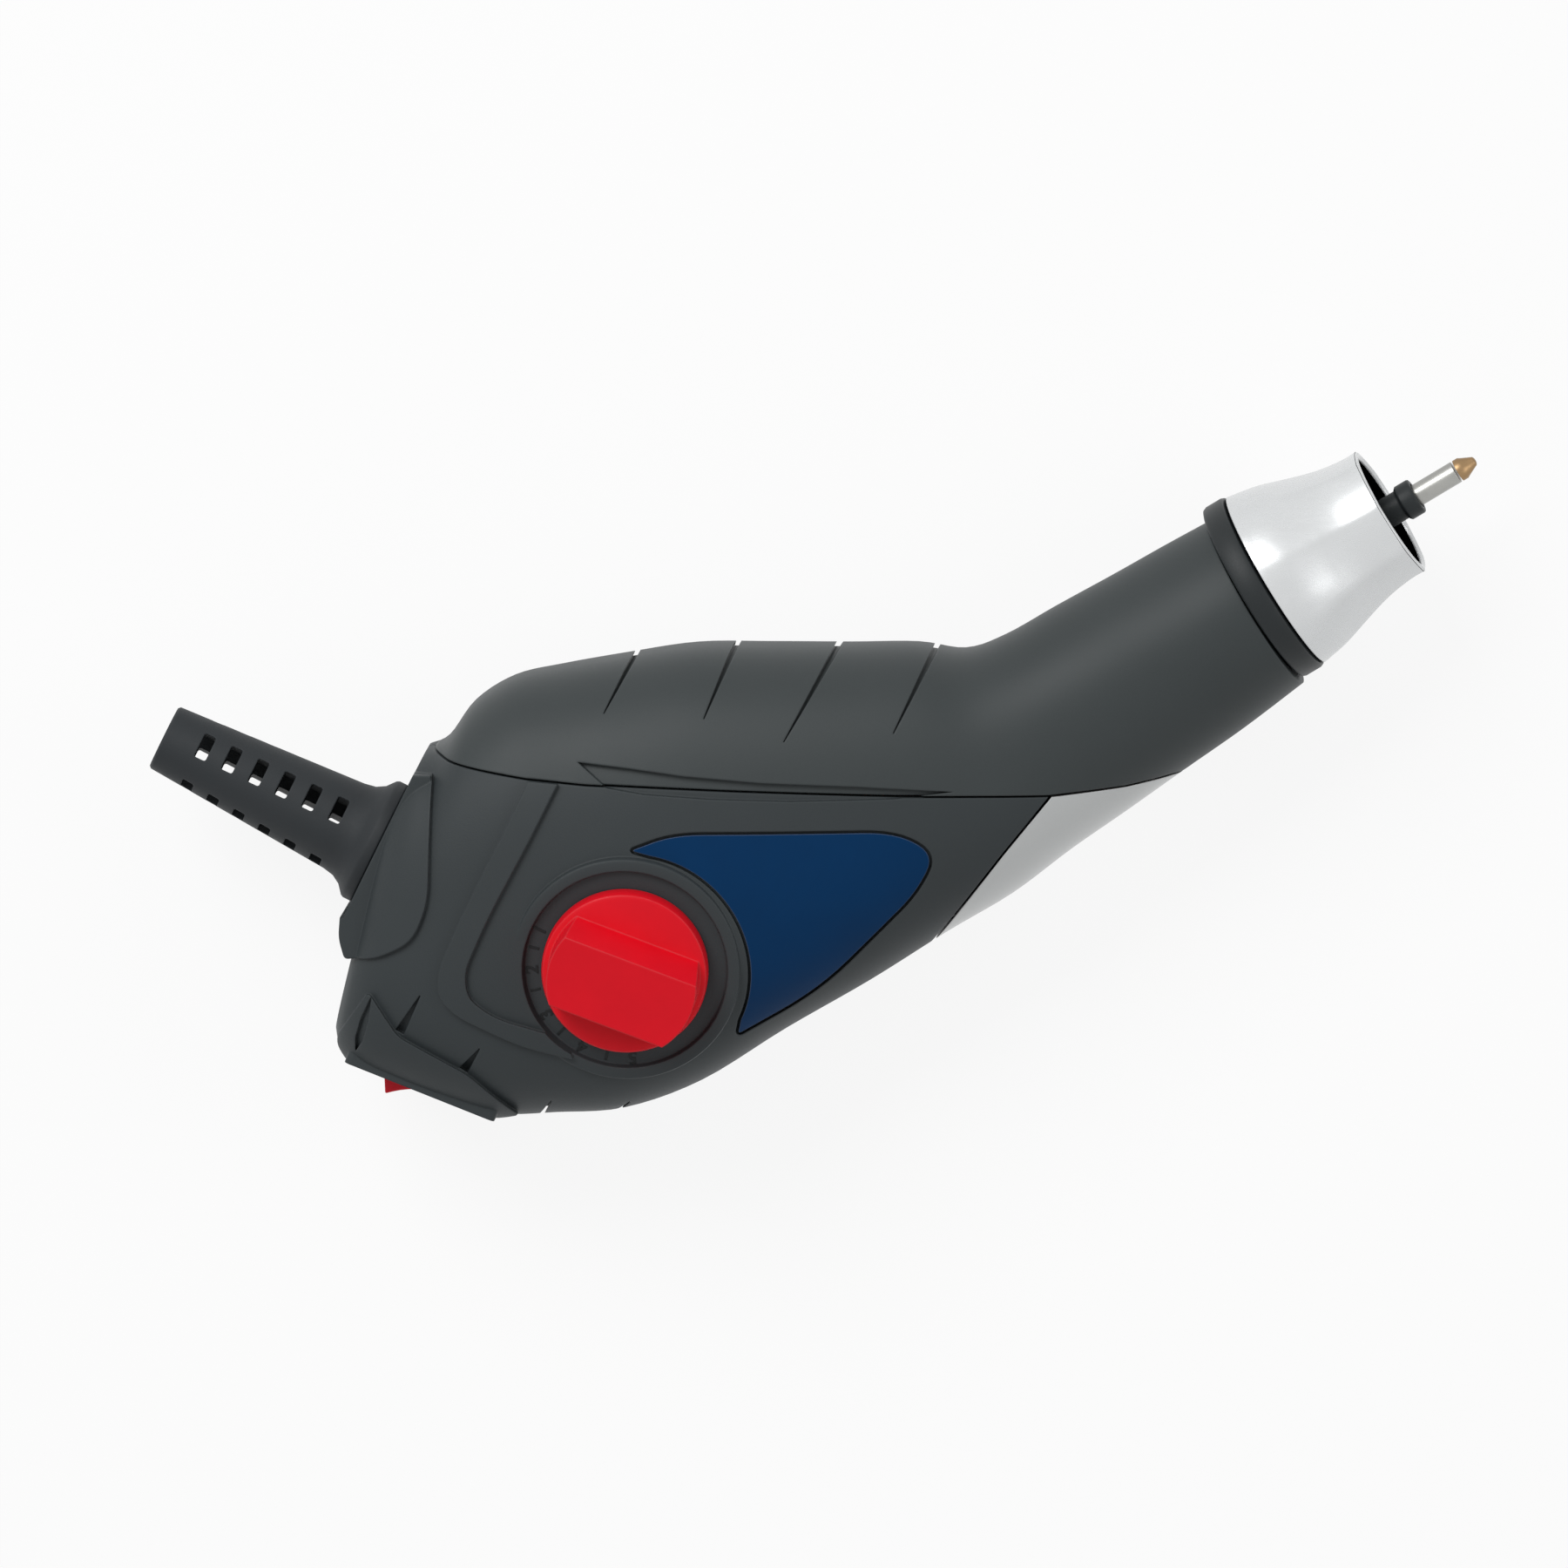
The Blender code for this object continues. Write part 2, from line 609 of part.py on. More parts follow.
class Pen:
    """Makes the pen's pieces on a builder."""

    def __init__(self):
        self.build = Builder()
        build = self.build
        self.black = build.material("black_shell", BLACK, 0.55)
        self.rubber = build.material("boot_rubber", DARK_RUBBER, 0.65)
        self.silver = build.material("silver_paint", SILVER, 0.30, 0.85)
        self.red = build.material("red_plastic", RED, 0.40)
        self.blue = build.material("blue_panel", BLUE, 0.35)
        self.steel = build.material("bright_steel", STEEL, 0.28, 1.0)
        self.natural = build.material("natural_nylon", NATURAL, 0.50)
        root = build.root
        foot = place(*DIAL_FOOT_SHARES)
        land_start = place(*LAND_SHARES[0])
        land_end = place(*LAND_SHARES[1])
        switch_place = land_start.lerp(land_end, 0.5)
        lean = Matrix.Rotation(DIAL_LEAN, 4, "X")
        self.nose = build.frame("nose_axis", root, Matrix.Rotation(NOSE_ANGLE, 4, "Z"))
        self.dial = build.frame("dial_axis", root, Matrix.Translation(foot) @ lean)
        boot_seat = Matrix.Translation(place(*BOOT_SEAT_SHARES))
        self.cord = build.frame("cord_axis", root, boot_seat @ Matrix.Rotation(CORD_ANGLE, 4, "Z"))
        land_middle = Matrix.Translation(switch_place)
        self.switch = build.frame("switch_face", root, land_middle @ Matrix.Rotation(SWITCH_ANGLE, 4, "Z"))

    # Levels on the dial's axis, counted from the middle plane

    def floor_level(self):
        return PLATE_LEVEL - WELL_DEPTH

    def ceiling_level(self):
        return self.floor_level() - WALL

    def cam_top(self):
        return self.ceiling_level() - WASHER_THICKNESS - 2 * SEAM

    def shell_tools(self):
        """The cutters that more than one shell shares."""
        build = self.build
        root = build.root
        self.raised = build.cutter("raised_form", body_mesh("raised_form", TRIM_RISE), root)
        self.skin = build.cutter("skin_form", body_mesh("skin_form", -GROOVE_DEPTH), root)
        self.under_floor = self.slab("under_rest", -REST_DEPTH)
        self.rest_wall = self.slab("rest_wall", WALL - REST_DEPTH)
        self.hollow = self.hollow_form("hollow_form")
        bm = bmesh.new()
        bore_start = REACH - BARREL_BORE_LENGTH
        add_cylinder(bm, BARREL_BORE_RADIUS, bore_start, REACH + OVERRUN, along_x(), FINE_STEPS)
        self.barrel_bore = build.cutter("barrel_bore", mesh_of(bm, "barrel_bore"), self.nose)

    def slab(self, name, top):
        """All that lies under a level."""
        mesh = box_mesh(name, (-2 * REACH, -2 * REACH, -2 * REST_DEPTH), (2 * REACH, 2 * REACH, top))
        return self.build.cutter(name, mesh, self.build.root)

    def hollow_form(self, name):
        """The room inside the shells. It keeps a whole wall over the flat that the pen lies on."""
        mesh = body_mesh(name, -WALL, INNER_POINTS, WALL + OVERRUN)
        return boolean(self.build.cutter(name, mesh, self.build.root), self.rest_wall)

    def raised_outline(self, name, shares):
        """A trim form: an outline that stands out of the body's surface by TRIM_RISE."""
        reach = HALF_WIDTH + OVERRUN
        mesh = plate_mesh(name, outline_points(shares), -reach, reach)
        return boolean(self.build.cutter(name, mesh, self.build.root), self.raised, "INTERSECT")

    def groove_cutter(self, name, lines):
        """Shallow grooves: slivers through the body, less all that lies deeper than GROOVE_DEPTH."""
        reach = HALF_WIDTH + OVERRUN
        bm = bmesh.new()
        for start, end in lines:
            outline = sliver(place(*start).xy, place(*end).xy, GROOVE_WIDTH)
            mesh = plate_mesh(name, outline, -reach, reach)
            bm.from_mesh(mesh)
            bpy.data.meshes.remove(mesh)
        return boolean(self.build.cutter(name, mesh_of(bm, name), self.build.root), self.skin)

    def top_cover(self):
        build = self.build
        obj = build.piece("top_cover", body_mesh("top_cover"), build.root, self.black)
        far_corner = ((1.2, 0.40), (1.2, 0.90), (-0.45, 0.90))
        outline = outline_points(PARTING_SHARES) + outline_points(far_corner)
        reach = 2 * HALF_WIDTH
        region = build.cutter("cover_region", plate_mesh("cover_region", outline, -reach, reach), build.root)
        boolean(obj, region, "INTERSECT")
        boolean(obj, self.groove_cutter("grip_grooves", GRIP_GROOVE_SHARES))
        boolean(obj, self.hollow)
        boolean(obj, self.barrel_bore)
        boolean(obj, self.under_floor)
        return smooth(obj)

    def lower_outline(self):
        """The lower shells' outline: under the parting line, up to the accent panel."""
        parting = outline_points(PARTING_SHARES[: PARTING_CORNER + 1], SEAM)
        edge = outline_points(ACCENT_EDGE_SHARES)
        below = outline_points(((0.38, -0.40), (-0.55, -0.40), (-0.55, 0.33)))
        return parting + edge + below

    def half_region(self, name, low, high):
        mesh = plate_mesh(name, self.lower_outline(), low, high)
        return self.build.cutter(name, mesh, self.build.root)

    def hood_box(self):
        """The flat land round the switch."""
        half_length = (place(*LAND_SHARES[1]) - place(*LAND_SHARES[0])).length / 2
        low = (-half_length, 0.0, -HOOD_HALF_WIDTH)
        high = (half_length, OVERRUN, HOOD_HALF_WIDTH)
        mesh = box_mesh("hood_land", low, high)
        return bevel(self.build.cutter("hood_land", mesh, self.switch), SOFT_EDGE)

    def socket_block(self):
        mesh = plate_mesh("cord_socket", outline_points(SOCKET_SHARES), -SOCKET_HALF_WIDTH, SOCKET_HALF_WIDTH)
        return bevel(self.build.cutter("cord_socket", mesh, self.build.root), SOCKET_ROUNDING, 2)

    def lower_shell_form(self, name):
        """The outside of a lower shell, before it is hollowed and halved."""
        obj = self.build.piece(name, body_mesh(name), self.build.root, self.black)
        for form in self.shell_trim:
            boolean(obj, form, "UNION")
        boolean(obj, self.under_land)
        boolean(obj, self.past_seat)
        return obj

    def make_shell_trim(self):
        build = self.build
        self.shell_trim = [
            self.socket_block(),
            self.raised_outline("hood_form", HOOD_SHARES),
            self.hood_box(),
            self.raised_outline("band_form", BAND_SHARES),
        ]
        half_length = (place(*LAND_SHARES[1]) - place(*LAND_SHARES[0])).length / 2
        low = (-half_length - SOFT_EDGE, -OVERRUN, -2 * HALF_WIDTH)
        mesh = box_mesh("under_land", low, (half_length + SOFT_EDGE, SEAM / 3, 2 * HALF_WIDTH))
        self.under_land = build.cutter("under_land", mesh, self.switch)
        side = BOOT_FLANGE_RADIUS + 2 * SEAM
        mesh = box_mesh("past_seat", (0.0, -2 * side, -2 * HALF_WIDTH), (2 * OVERRUN, side, 2 * HALF_WIDTH))
        self.past_seat = build.cutter("past_seat", mesh, self.cord)
        bm = bmesh.new()
        add_cylinder(bm, PLATE_RADIUS, PLATE_LEVEL - PLATE_DEPTH, PLATE_LEVEL, steps=FINE_STEPS)
        self.plate = build.cutter("dial_plate", mesh_of(bm, "dial_plate"), self.dial)
        bm = bmesh.new()
        radius = BOOT_NECK_RADIUS + SEAM
        add_cylinder(bm, radius, -BOOT_NECK_LENGTH - OVERRUN, OVERRUN, along_x(), FINE_STEPS)
        self.neck_hole = build.cutter("neck_hole", mesh_of(bm, "neck_hole"), self.cord)
        heel_start = -BOOT_NECK_LENGTH - SEAM
        heel_end = heel_start - BOOT_HEEL_THICKNESS - 2 * SEAM
        bm = bmesh.new()
        add_cylinder(bm, BOOT_HEEL_RADIUS + SEAM, heel_end - OVERRUN, heel_start, along_x(), FINE_STEPS)
        self.heel_room = build.cutter("heel_room", mesh_of(bm, "heel_room"), self.cord)
        half_length = SWITCH_LENGTH / 2 + SEAM
        half_width = SWITCH_WIDTH / 2 + SEAM
        margin = BEZEL_MARGIN
        self.switch_hole = build.cutter(
            "switch_hole",
            box_mesh(
                "switch_hole",
                (-half_length, -OVERRUN, -half_width),
                (half_length, SWITCH_DEPTH, half_width),
            ),
            self.switch,
        )
        self.bezel_pocket = build.cutter(
            "bezel_pocket",
            box_mesh(
                "bezel_pocket",
                (-half_length - margin, -OVERRUN, -half_width - margin),
                (half_length + margin, BEZEL_THICKNESS + SEAM, half_width + margin),
            ),
            self.switch,
        )

    def boss_places(self):
        return [place(x, y) for x, y, _ in BOSS_SHARES]

    def head_levels(self):
        return [-depth * HALF_WIDTH for _, _, depth in BOSS_SHARES]

    def clamp_places(self):
        """The two clamp screws, in the cord's frame."""
        return [(-CLAMP_SETBACK, side * CLAMP_SPREAD) for side in (-1, 1)]

    def clamp_level(self):
        return SEAM / 2

    def clamp_posts(self, bm, low, high, radius):
        frame = self.cord.matrix_local
        for x, y in self.clamp_places():
            add_cylinder(bm, radius, low, high, frame @ moved(x, y), SMALL_STEPS)

    def yoke_posts(self, bm, low, high, radius):
        frame = self.nose.matrix_local
        for x, y in YOKE_POST_SHARES:
            add_cylinder(bm, radius, low, high, frame @ moved(x * REACH, y * REACH), SMALL_STEPS)

    def far_core(self):
        """The far shell's hollow, less the bosses, posts and cradle that stand in it."""
        build = self.build
        obj = self.hollow_form("far_hollow")
        deep = -2 * HALF_WIDTH
        bm = bmesh.new()
        for spot in self.boss_places():
            add_cylinder(bm, BOSS_RADIUS, deep, -SEAM / 2, Matrix.Translation(spot))
        bosses = build.cutter("far_bosses", mesh_of(bm, "far_bosses"), build.root)
        bm = bmesh.new()
        self.clamp_posts(bm, deep, self.clamp_level() - SEAM, POST_RADIUS)
        under_yoke = -YOKE_HALF_DEPTH - SEAM
        self.yoke_posts(bm, deep, under_yoke, POST_RADIUS)
        rest = self.nose.matrix_local @ moved(YOKE_REST_SHARES[0] * REACH, YOKE_REST_SHARES[1] * REACH)
        add_cylinder(bm, POST_RADIUS, deep, under_yoke, rest, SMALL_STEPS)
        posts = build.cutter("far_posts", mesh_of(bm, "far_posts"), build.root)
        boolean(obj, bosses)
        boolean(obj, posts)
        boolean(obj, self.slider_cradle(deep))
        return obj

    def slider_cradle(self, deep):
        """The block that holds the slider, with the channel that it runs in."""
        half = SLIDER_HALF_WIDTH + SEAM
        floor = -SLIDER_HALF_DEPTH - SEAM
        end = SLIDER_REAR + SLIDER_LENGTH
        reach = half + CRADLE_WALL
        mesh = box_mesh("slider_cradle", (SLIDER_REAR, -reach, deep), (end, reach, floor + CRADLE_DEPTH))
        cradle = self.build.cutter("slider_cradle", mesh, self.nose)
        mesh = box_mesh("slider_way", (SLIDER_REAR - OVERRUN, -half, floor), (end + OVERRUN, half, OVERRUN))
        return boolean(cradle, self.build.cutter("slider_way", mesh, self.nose))

    def near_core(self):
        """The near shell's hollow, less its bosses and the solid seat under the dial."""
        build = self.build
        obj = self.hollow_form("near_hollow")
        bm = bmesh.new()
        for spot in self.boss_places():
            add_cylinder(bm, BOSS_RADIUS, SEAM / 2, 2 * HALF_WIDTH, Matrix.Translation(spot))
        bosses = build.cutter("near_bosses", mesh_of(bm, "near_bosses"), build.root)
        bm = bmesh.new()
        add_cylinder(bm, PLATE_RADIUS + SEAM, self.ceiling_level(), 2 * HALF_WIDTH, steps=FINE_STEPS)
        seat = build.cutter("dial_seat", mesh_of(bm, "dial_seat"), self.dial)
        boolean(obj, bosses)
        boolean(obj, seat)
        return obj

    def housing_far(self):
        build = self.build
        obj = self.lower_shell_form("housing_far")
        boolean(obj, self.half_region("far_region", -2 * HALF_WIDTH, -SEAM / 2), "INTERSECT")
        boolean(obj, self.under_floor)
        boolean(obj, self.far_core())
        for cutter in (self.neck_hole, self.heel_room, self.switch_hole, self.bezel_pocket, self.toe_grooves):
            boolean(obj, cutter)
        bm = bmesh.new()
        for spot, level in zip(self.boss_places(), self.head_levels()):
            matrix = Matrix.Translation(spot)
            add_cylinder(bm, SCREW_RADIUS + SEAM, level, OVERRUN, matrix, SMALL_STEPS)
        shanks = build.cutter("screw_ways", mesh_of(bm, "screw_ways"), build.root)
        bm = bmesh.new()
        for spot, level in zip(self.boss_places(), self.head_levels()):
            seat = level + SCREW_HEAD_HEIGHT + SEAM
            add_cylinder(bm, SCREW_HEAD_RADIUS + SEAM, -2 * HALF_WIDTH, seat, Matrix.Translation(spot))
        heads = build.cutter("screw_sinks", mesh_of(bm, "screw_sinks"), build.root)
        bm = bmesh.new()
        grip = SMALL_SCREW_RADIUS + SEAM
        self.clamp_posts(bm, self.clamp_level() - SMALL_SCREW_BITE - SEAM, self.clamp_level() + OVERRUN, grip)
        self.yoke_posts(bm, -YOKE_HALF_DEPTH - SMALL_SCREW_BITE - SEAM, OVERRUN, grip)
        pilots = build.cutter("post_pilots", mesh_of(bm, "post_pilots"), build.root)
        for cutter in (shanks, heads, pilots):
            boolean(obj, cutter)
        return smooth(obj)

    def housing_near(self):
        build = self.build
        obj = self.lower_shell_form("housing_near")
        boolean(obj, self.plate, "UNION")
        boolean(obj, self.half_region("near_region", SEAM / 2, 2 * HALF_WIDTH), "INTERSECT")
        boolean(obj, self.near_core())
        for cutter in (self.neck_hole, self.heel_room, self.switch_hole, self.bezel_pocket, self.toe_grooves):
            boolean(obj, cutter)
        bm = bmesh.new()
        for spot in self.boss_places():
            matrix = Matrix.Translation(spot)
            add_cylinder(bm, SCREW_RADIUS + SEAM, -OVERRUN, SCREW_BITE + SEAM, matrix, SMALL_STEPS)
        pilots = build.cutter("screw_pilots", mesh_of(bm, "screw_pilots"), build.root)
        bm = bmesh.new()
        add_cylinder(bm, WELL_RADIUS, self.floor_level(), PLATE_LEVEL + OVERRUN, steps=FINE_STEPS)
        well = build.cutter("dial_well", mesh_of(bm, "dial_well"), self.dial)
        bm = bmesh.new()
        add_cylinder(bm, DIAL_HUB_RADIUS + RUNNING_GAP, self.ceiling_level() - OVERRUN, PLATE_LEVEL)
        hub = build.cutter("hub_hole", mesh_of(bm, "hub_hole"), self.dial)
        recess = boolean(self.label_form("label_recess", LABEL_GAP), self.skin)
        for cutter in (pilots, well, hub, recess):
            boolean(obj, cutter)
        return smooth(obj)

    def label_outline(self):
        """The label: an edge that runs round the dial plate, and straight sides out to its corners."""
        radius = PLATE_RADIUS + 2 * LABEL_GAP
        inner = arc(self.plate_centre(), radius, LABEL_ARC_END, LABEL_ARC_START, 12)
        return inner + outline_points(LABEL_SHARES)

    def plate_centre(self):
        top = self.dial.matrix_local @ Vector((0.0, 0.0, PLATE_LEVEL))
        return (top.x, top.y)

    def label_form(self, name, margin):
        outline = grown(self.label_outline(), margin)
        mesh = plate_mesh(name, outline, WALL, 2 * HALF_WIDTH)
        return self.build.cutter(name, mesh, self.build.root)

    def label_panel(self):
        build = self.build
        obj = build.piece("label_panel", body_mesh("label_panel"), build.root, self.blue)
        boolean(obj, self.label_form("label_region", 0.0), "INTERSECT")
        back = build.cutter("label_back", body_mesh("label_back", -LABEL_THICKNESS), build.root)
        boolean(obj, back)
        return smooth(obj)

    def accent_panel(self):
        build = self.build
        obj = build.piece("accent_panel", body_mesh("accent_panel"), build.root, self.silver)
        parting = outline_points(PARTING_SHARES[PARTING_CORNER:], SEAM)
        corner = Vector(outline_points(PARTING_SHARES)[PARTING_CORNER]) + Vector((SEAM * 1.5, -SEAM))
        edge = [(x + SEAM * 1.3, y) for x, y in outline_points(ACCENT_EDGE_SHARES)]
        outline = [tuple(corner)] + edge + outline_points(((0.60, -0.10), (0.90, 0.18))) + parting[:0:-1]
        reach = 2 * HALF_WIDTH
        mesh = plate_mesh("accent_region", outline, -reach, reach)
        region = build.cutter("accent_region", mesh, build.root)
        mesh = body_mesh("accent_back", -ACCENT_WALL, INNER_POINTS)
        back = build.cutter("accent_back", mesh, build.root)
        boolean(obj, region, "INTERSECT")
        boolean(obj, back)
        boolean(obj, self.under_floor)
        return smooth(obj)

    def housing_screws(self):
        for k, (spot, level) in enumerate(zip(self.boss_places(), self.head_levels())):
            matrix = Matrix.Translation(spot) @ upside_down()
            seat = level + SCREW_HEAD_HEIGHT
            profile = screw_profile(SCREW_RADIUS, SCREW_HEAD_RADIUS, -level, -seat, -SCREW_BITE)
            name = f"housing_screw_{k + 1}"
            turned(self.build, name, profile, self.build.root, matrix, self.steel, SMALL_STEPS)

    def cord_boot(self):
        build = self.build
        root_end = BOOT_FLARE_LENGTH
        profile = [
            (BOOT_BORE_RADIUS, BOOT_LENGTH),
            (BOOT_END_RADIUS, BOOT_LENGTH),
            (BOOT_ROOT_RADIUS, root_end),
            (BOOT_ROOT_RADIUS + (BOOT_FLANGE_RADIUS - BOOT_ROOT_RADIUS) * 0.4, root_end / 2 + SEAM),
            (BOOT_FLANGE_RADIUS, BOOT_FLANGE_THICKNESS),
            (BOOT_FLANGE_RADIUS, SEAM),
            (BOOT_NECK_RADIUS, SEAM),
            (BOOT_NECK_RADIUS, -BOOT_NECK_LENGTH - 2 * SEAM),
            (BOOT_HEEL_RADIUS, -BOOT_NECK_LENGTH - 2 * SEAM),
            (BOOT_HEEL_RADIUS, -BOOT_NECK_LENGTH - 2 * SEAM - BOOT_HEEL_THICKNESS),
            (BOOT_BORE_RADIUS, -BOOT_NECK_LENGTH - 2 * SEAM - BOOT_HEEL_THICKNESS),
        ]
        obj = turned(build, "cord_boot", profile, self.cord, along_x(), self.rubber, 24, True)
        boolean(obj, self.boot_slots())
        return smooth(obj)

    def slot_places(self):
        """How far out each row of the boot's slots lies."""
        start = BOOT_FLARE_LENGTH + BOOT_SLOT_WIDTH / 2 + SOFT_EDGE
        pitch = (BOOT_LENGTH - BOOT_PLAIN_END - BOOT_SLOT_WIDTH / 2 - start) / (BOOT_SLOT_ROWS - 1)
        return [start + pitch * row for row in range(BOOT_SLOT_ROWS)]

    def boot_slots(self):
        bm = bmesh.new()
        half = BOOT_SLOT_WIDTH / 2
        reach = BOOT_FLANGE_RADIUS
        side = BOOT_BORE_RADIUS * math.tan(BOOT_SLOT_ARC / 2) * 1.25
        for k in range(BOOT_SLOTS_ROUND):
            matrix = Matrix.Rotation(BOOT_SLOT_TURN + math.tau * k / BOOT_SLOTS_ROUND, 4, "X")
            for x in self.slot_places():
                add_box(bm, (x - half, -side, BOOT_BORE_RADIUS - SOFT_EDGE), (x + half, side, reach), matrix)
        return self.build.cutter("boot_slots", mesh_of(bm, "boot_slots"), self.cord)

    def cord_clamp(self):
        build = self.build
        half = CLAMP_WIDTH / 2
        reach = CLAMP_SPREAD + half
        low = (-CLAMP_SETBACK - half, -reach, self.clamp_level())
        high = (-CLAMP_SETBACK + half, reach, self.clamp_level() + CLAMP_THICKNESS)
        obj = build.piece("cord_clamp", box_mesh("cord_clamp", low, high), self.cord, self.black)
        bevel(obj, SOFT_EDGE)
        bm = bmesh.new()
        reach = CLAMP_THICKNESS + OVERRUN
        for x, y in self.clamp_places():
            add_cylinder(bm, SMALL_SCREW_RADIUS + SEAM, -OVERRUN, reach, moved(x, y), SMALL_STEPS)
        boolean(obj, build.cutter("clamp_holes", mesh_of(bm, "clamp_holes"), self.cord))
        top = self.clamp_level() + CLAMP_THICKNESS + SEAM
        tail = self.clamp_level() - SMALL_SCREW_BITE
        for k, (x, y) in enumerate(self.clamp_places()):
            self.small_screw(f"cord_clamp_screw_{k + 1}", self.cord, moved(x, y), top, tail)

    def small_screw(self, name, parent, matrix, seat, tail):
        """A small screw whose head stands on the seat's height and whose shank ends at the tail's height."""
        profile = screw_profile(SMALL_SCREW_RADIUS, SMALL_HEAD_RADIUS, seat + SMALL_HEAD_HEIGHT, seat, tail)
        turned(self.build, name, profile, parent, matrix, self.steel, SMALL_STEPS)

    def stroke_dial(self):
        build = self.build
        low = self.floor_level() + SEAM
        rim = low + DIAL_RIM_HEIGHT
        tail = self.cam_top() - CAM_THICKNESS + SOFT_EDGE
        profile = [
            (0.0, rim),
            (DIAL_RADIUS - SOFT_EDGE, rim),
            (DIAL_RADIUS, rim - SOFT_EDGE),
            (DIAL_RADIUS, low),
            (DIAL_HUB_RADIUS, low),
            (DIAL_HUB_RADIUS, self.cam_top() + SEAM),
            (DIAL_HUB_RADIUS / 2 + SOFT_EDGE, self.cam_top() + SEAM),
            (DIAL_HUB_RADIUS / 2 + SOFT_EDGE, tail),
            (0.0, tail),
        ]
        obj = turned(build, "stroke_dial", profile, self.dial, Matrix.Identity(4), self.red, FINE_STEPS)
        boolean(obj, self.dial_grip(rim), "UNION")
        bm = bmesh.new()
        pilot_end = tail + SMALL_SCREW_BITE + SEAM
        add_cylinder(bm, SMALL_SCREW_RADIUS + SEAM, tail - OVERRUN, pilot_end, steps=SMALL_STEPS)
        boolean(obj, build.cutter("dial_pilot", mesh_of(bm, "dial_pilot"), self.dial))
        return smooth(obj)

    def dial_grip(self, rim):
        """The bar across the dial, a little off its middle. Its sides lean in and its ends follow the rim."""
        left = DIAL_GRIP_WIDTH / 2 - DIAL_GRIP_OFFSET
        right = -DIAL_GRIP_WIDTH / 2 - DIAL_GRIP_OFFSET
        bottom = rim - SOFT_EDGE
        top = rim + DIAL_GRIP_HEIGHT
        bm = bmesh.new()
        add_box(bm, (-DIAL_RADIUS, right, bottom), (DIAL_RADIUS, left, top))
        for vert in bm.verts:
            if vert.co.z < (bottom + top) / 2:
                vert.co.y += math.copysign(DIAL_GRIP_SPREAD, vert.co.y)
        grip = self.build.cutter("grip_bar", mesh_of(bm, "grip_bar"), self.dial)
        grip.matrix_local = Matrix.Rotation(DIAL_GRIP_TURN, 4, "Z")
        profile = [
            (0.0, top + OVERRUN),
            (DIAL_GRIP_RADIUS, top + OVERRUN),
            (DIAL_GRIP_RADIUS, top),
            (DIAL_RADIUS - SOFT_EDGE, bottom),
            (0.0, bottom - OVERRUN),
        ]
        ends = turned(self.build, "grip_ends", profile, self.dial, Matrix.Identity(4), None, FINE_STEPS)
        return boolean(grip, ends, "INTERSECT")

    def dial_cam(self):
        """The cam under the dial. Its radius grows evenly over the dial's travel, on the side of the slider."""
        build = self.build
        top = self.cam_top()
        outline = []
        steps = 36
        for k in range(steps):
            angle = math.tau * k / steps
            radius = self.cam_radius(angle)
            outline.append((radius * math.cos(angle), radius * math.sin(angle)))
        mesh = plate_mesh("dial_cam", outline, top - CAM_THICKNESS, top)
        obj = build.piece("dial_cam", mesh, self.dial, self.natural)
        bm = bmesh.new()
        bore = DIAL_HUB_RADIUS / 2 + SOFT_EDGE + SEAM
        add_cylinder(bm, bore, top - CAM_THICKNESS - OVERRUN, top + OVERRUN)
        boolean(obj, build.cutter("cam_bore", mesh_of(bm, "cam_bore"), self.dial))
        ceiling = self.ceiling_level()
        rim = DIAL_HUB_RADIUS + RUNNING_GAP + SEAM
        profile = [
            (rim, ceiling - SEAM),
            (2 * DIAL_HUB_RADIUS, ceiling - SEAM),
            (2 * DIAL_HUB_RADIUS, ceiling - SEAM - WASHER_THICKNESS),
            (rim, ceiling - SEAM - WASHER_THICKNESS),
        ]
        turned(build, "dial_washer", profile, self.dial, Matrix.Identity(4), self.steel, ROUND_STEPS, True)
        seat = top - CAM_THICKNESS - SEAM
        profile = screw_profile(
            SMALL_SCREW_RADIUS, DIAL_HUB_RADIUS, SMALL_HEAD_HEIGHT - seat, -seat, -seat - SMALL_SCREW_BITE
        )
        turned(build, "dial_screw", profile, self.dial, upside_down(), self.steel, SMALL_STEPS)

    def cam_radius(self, angle):
        """At the slider the radius is CAM_RADIUS at rest, and CAM_RISE more at the end of the travel."""
        behind = (NOSE_ANGLE - angle) % math.tau
        lead = math.radians(20.0)
        if behind > math.tau - lead:
            behind -= math.tau
        if behind <= DIAL_TRAVEL + lead:
            return CAM_RADIUS + CAM_RISE * behind / DIAL_TRAVEL
        back = (behind - DIAL_TRAVEL - lead) / (math.tau - DIAL_TRAVEL - 2 * lead)
        high = CAM_RADIUS + CAM_RISE * (DIAL_TRAVEL + lead) / DIAL_TRAVEL
        low = CAM_RADIUS - CAM_RISE * lead / DIAL_TRAVEL
        return high + (low - high) * back

    def cam_in_nose_frame(self):
        """The middle of the cam's edge, seen in the nose frame."""
        level = self.cam_top() - CAM_THICKNESS / 2
        centre = self.dial.matrix_local @ Vector((0.0, 0.0, level))
        return self.nose.matrix_local.inverted() @ centre

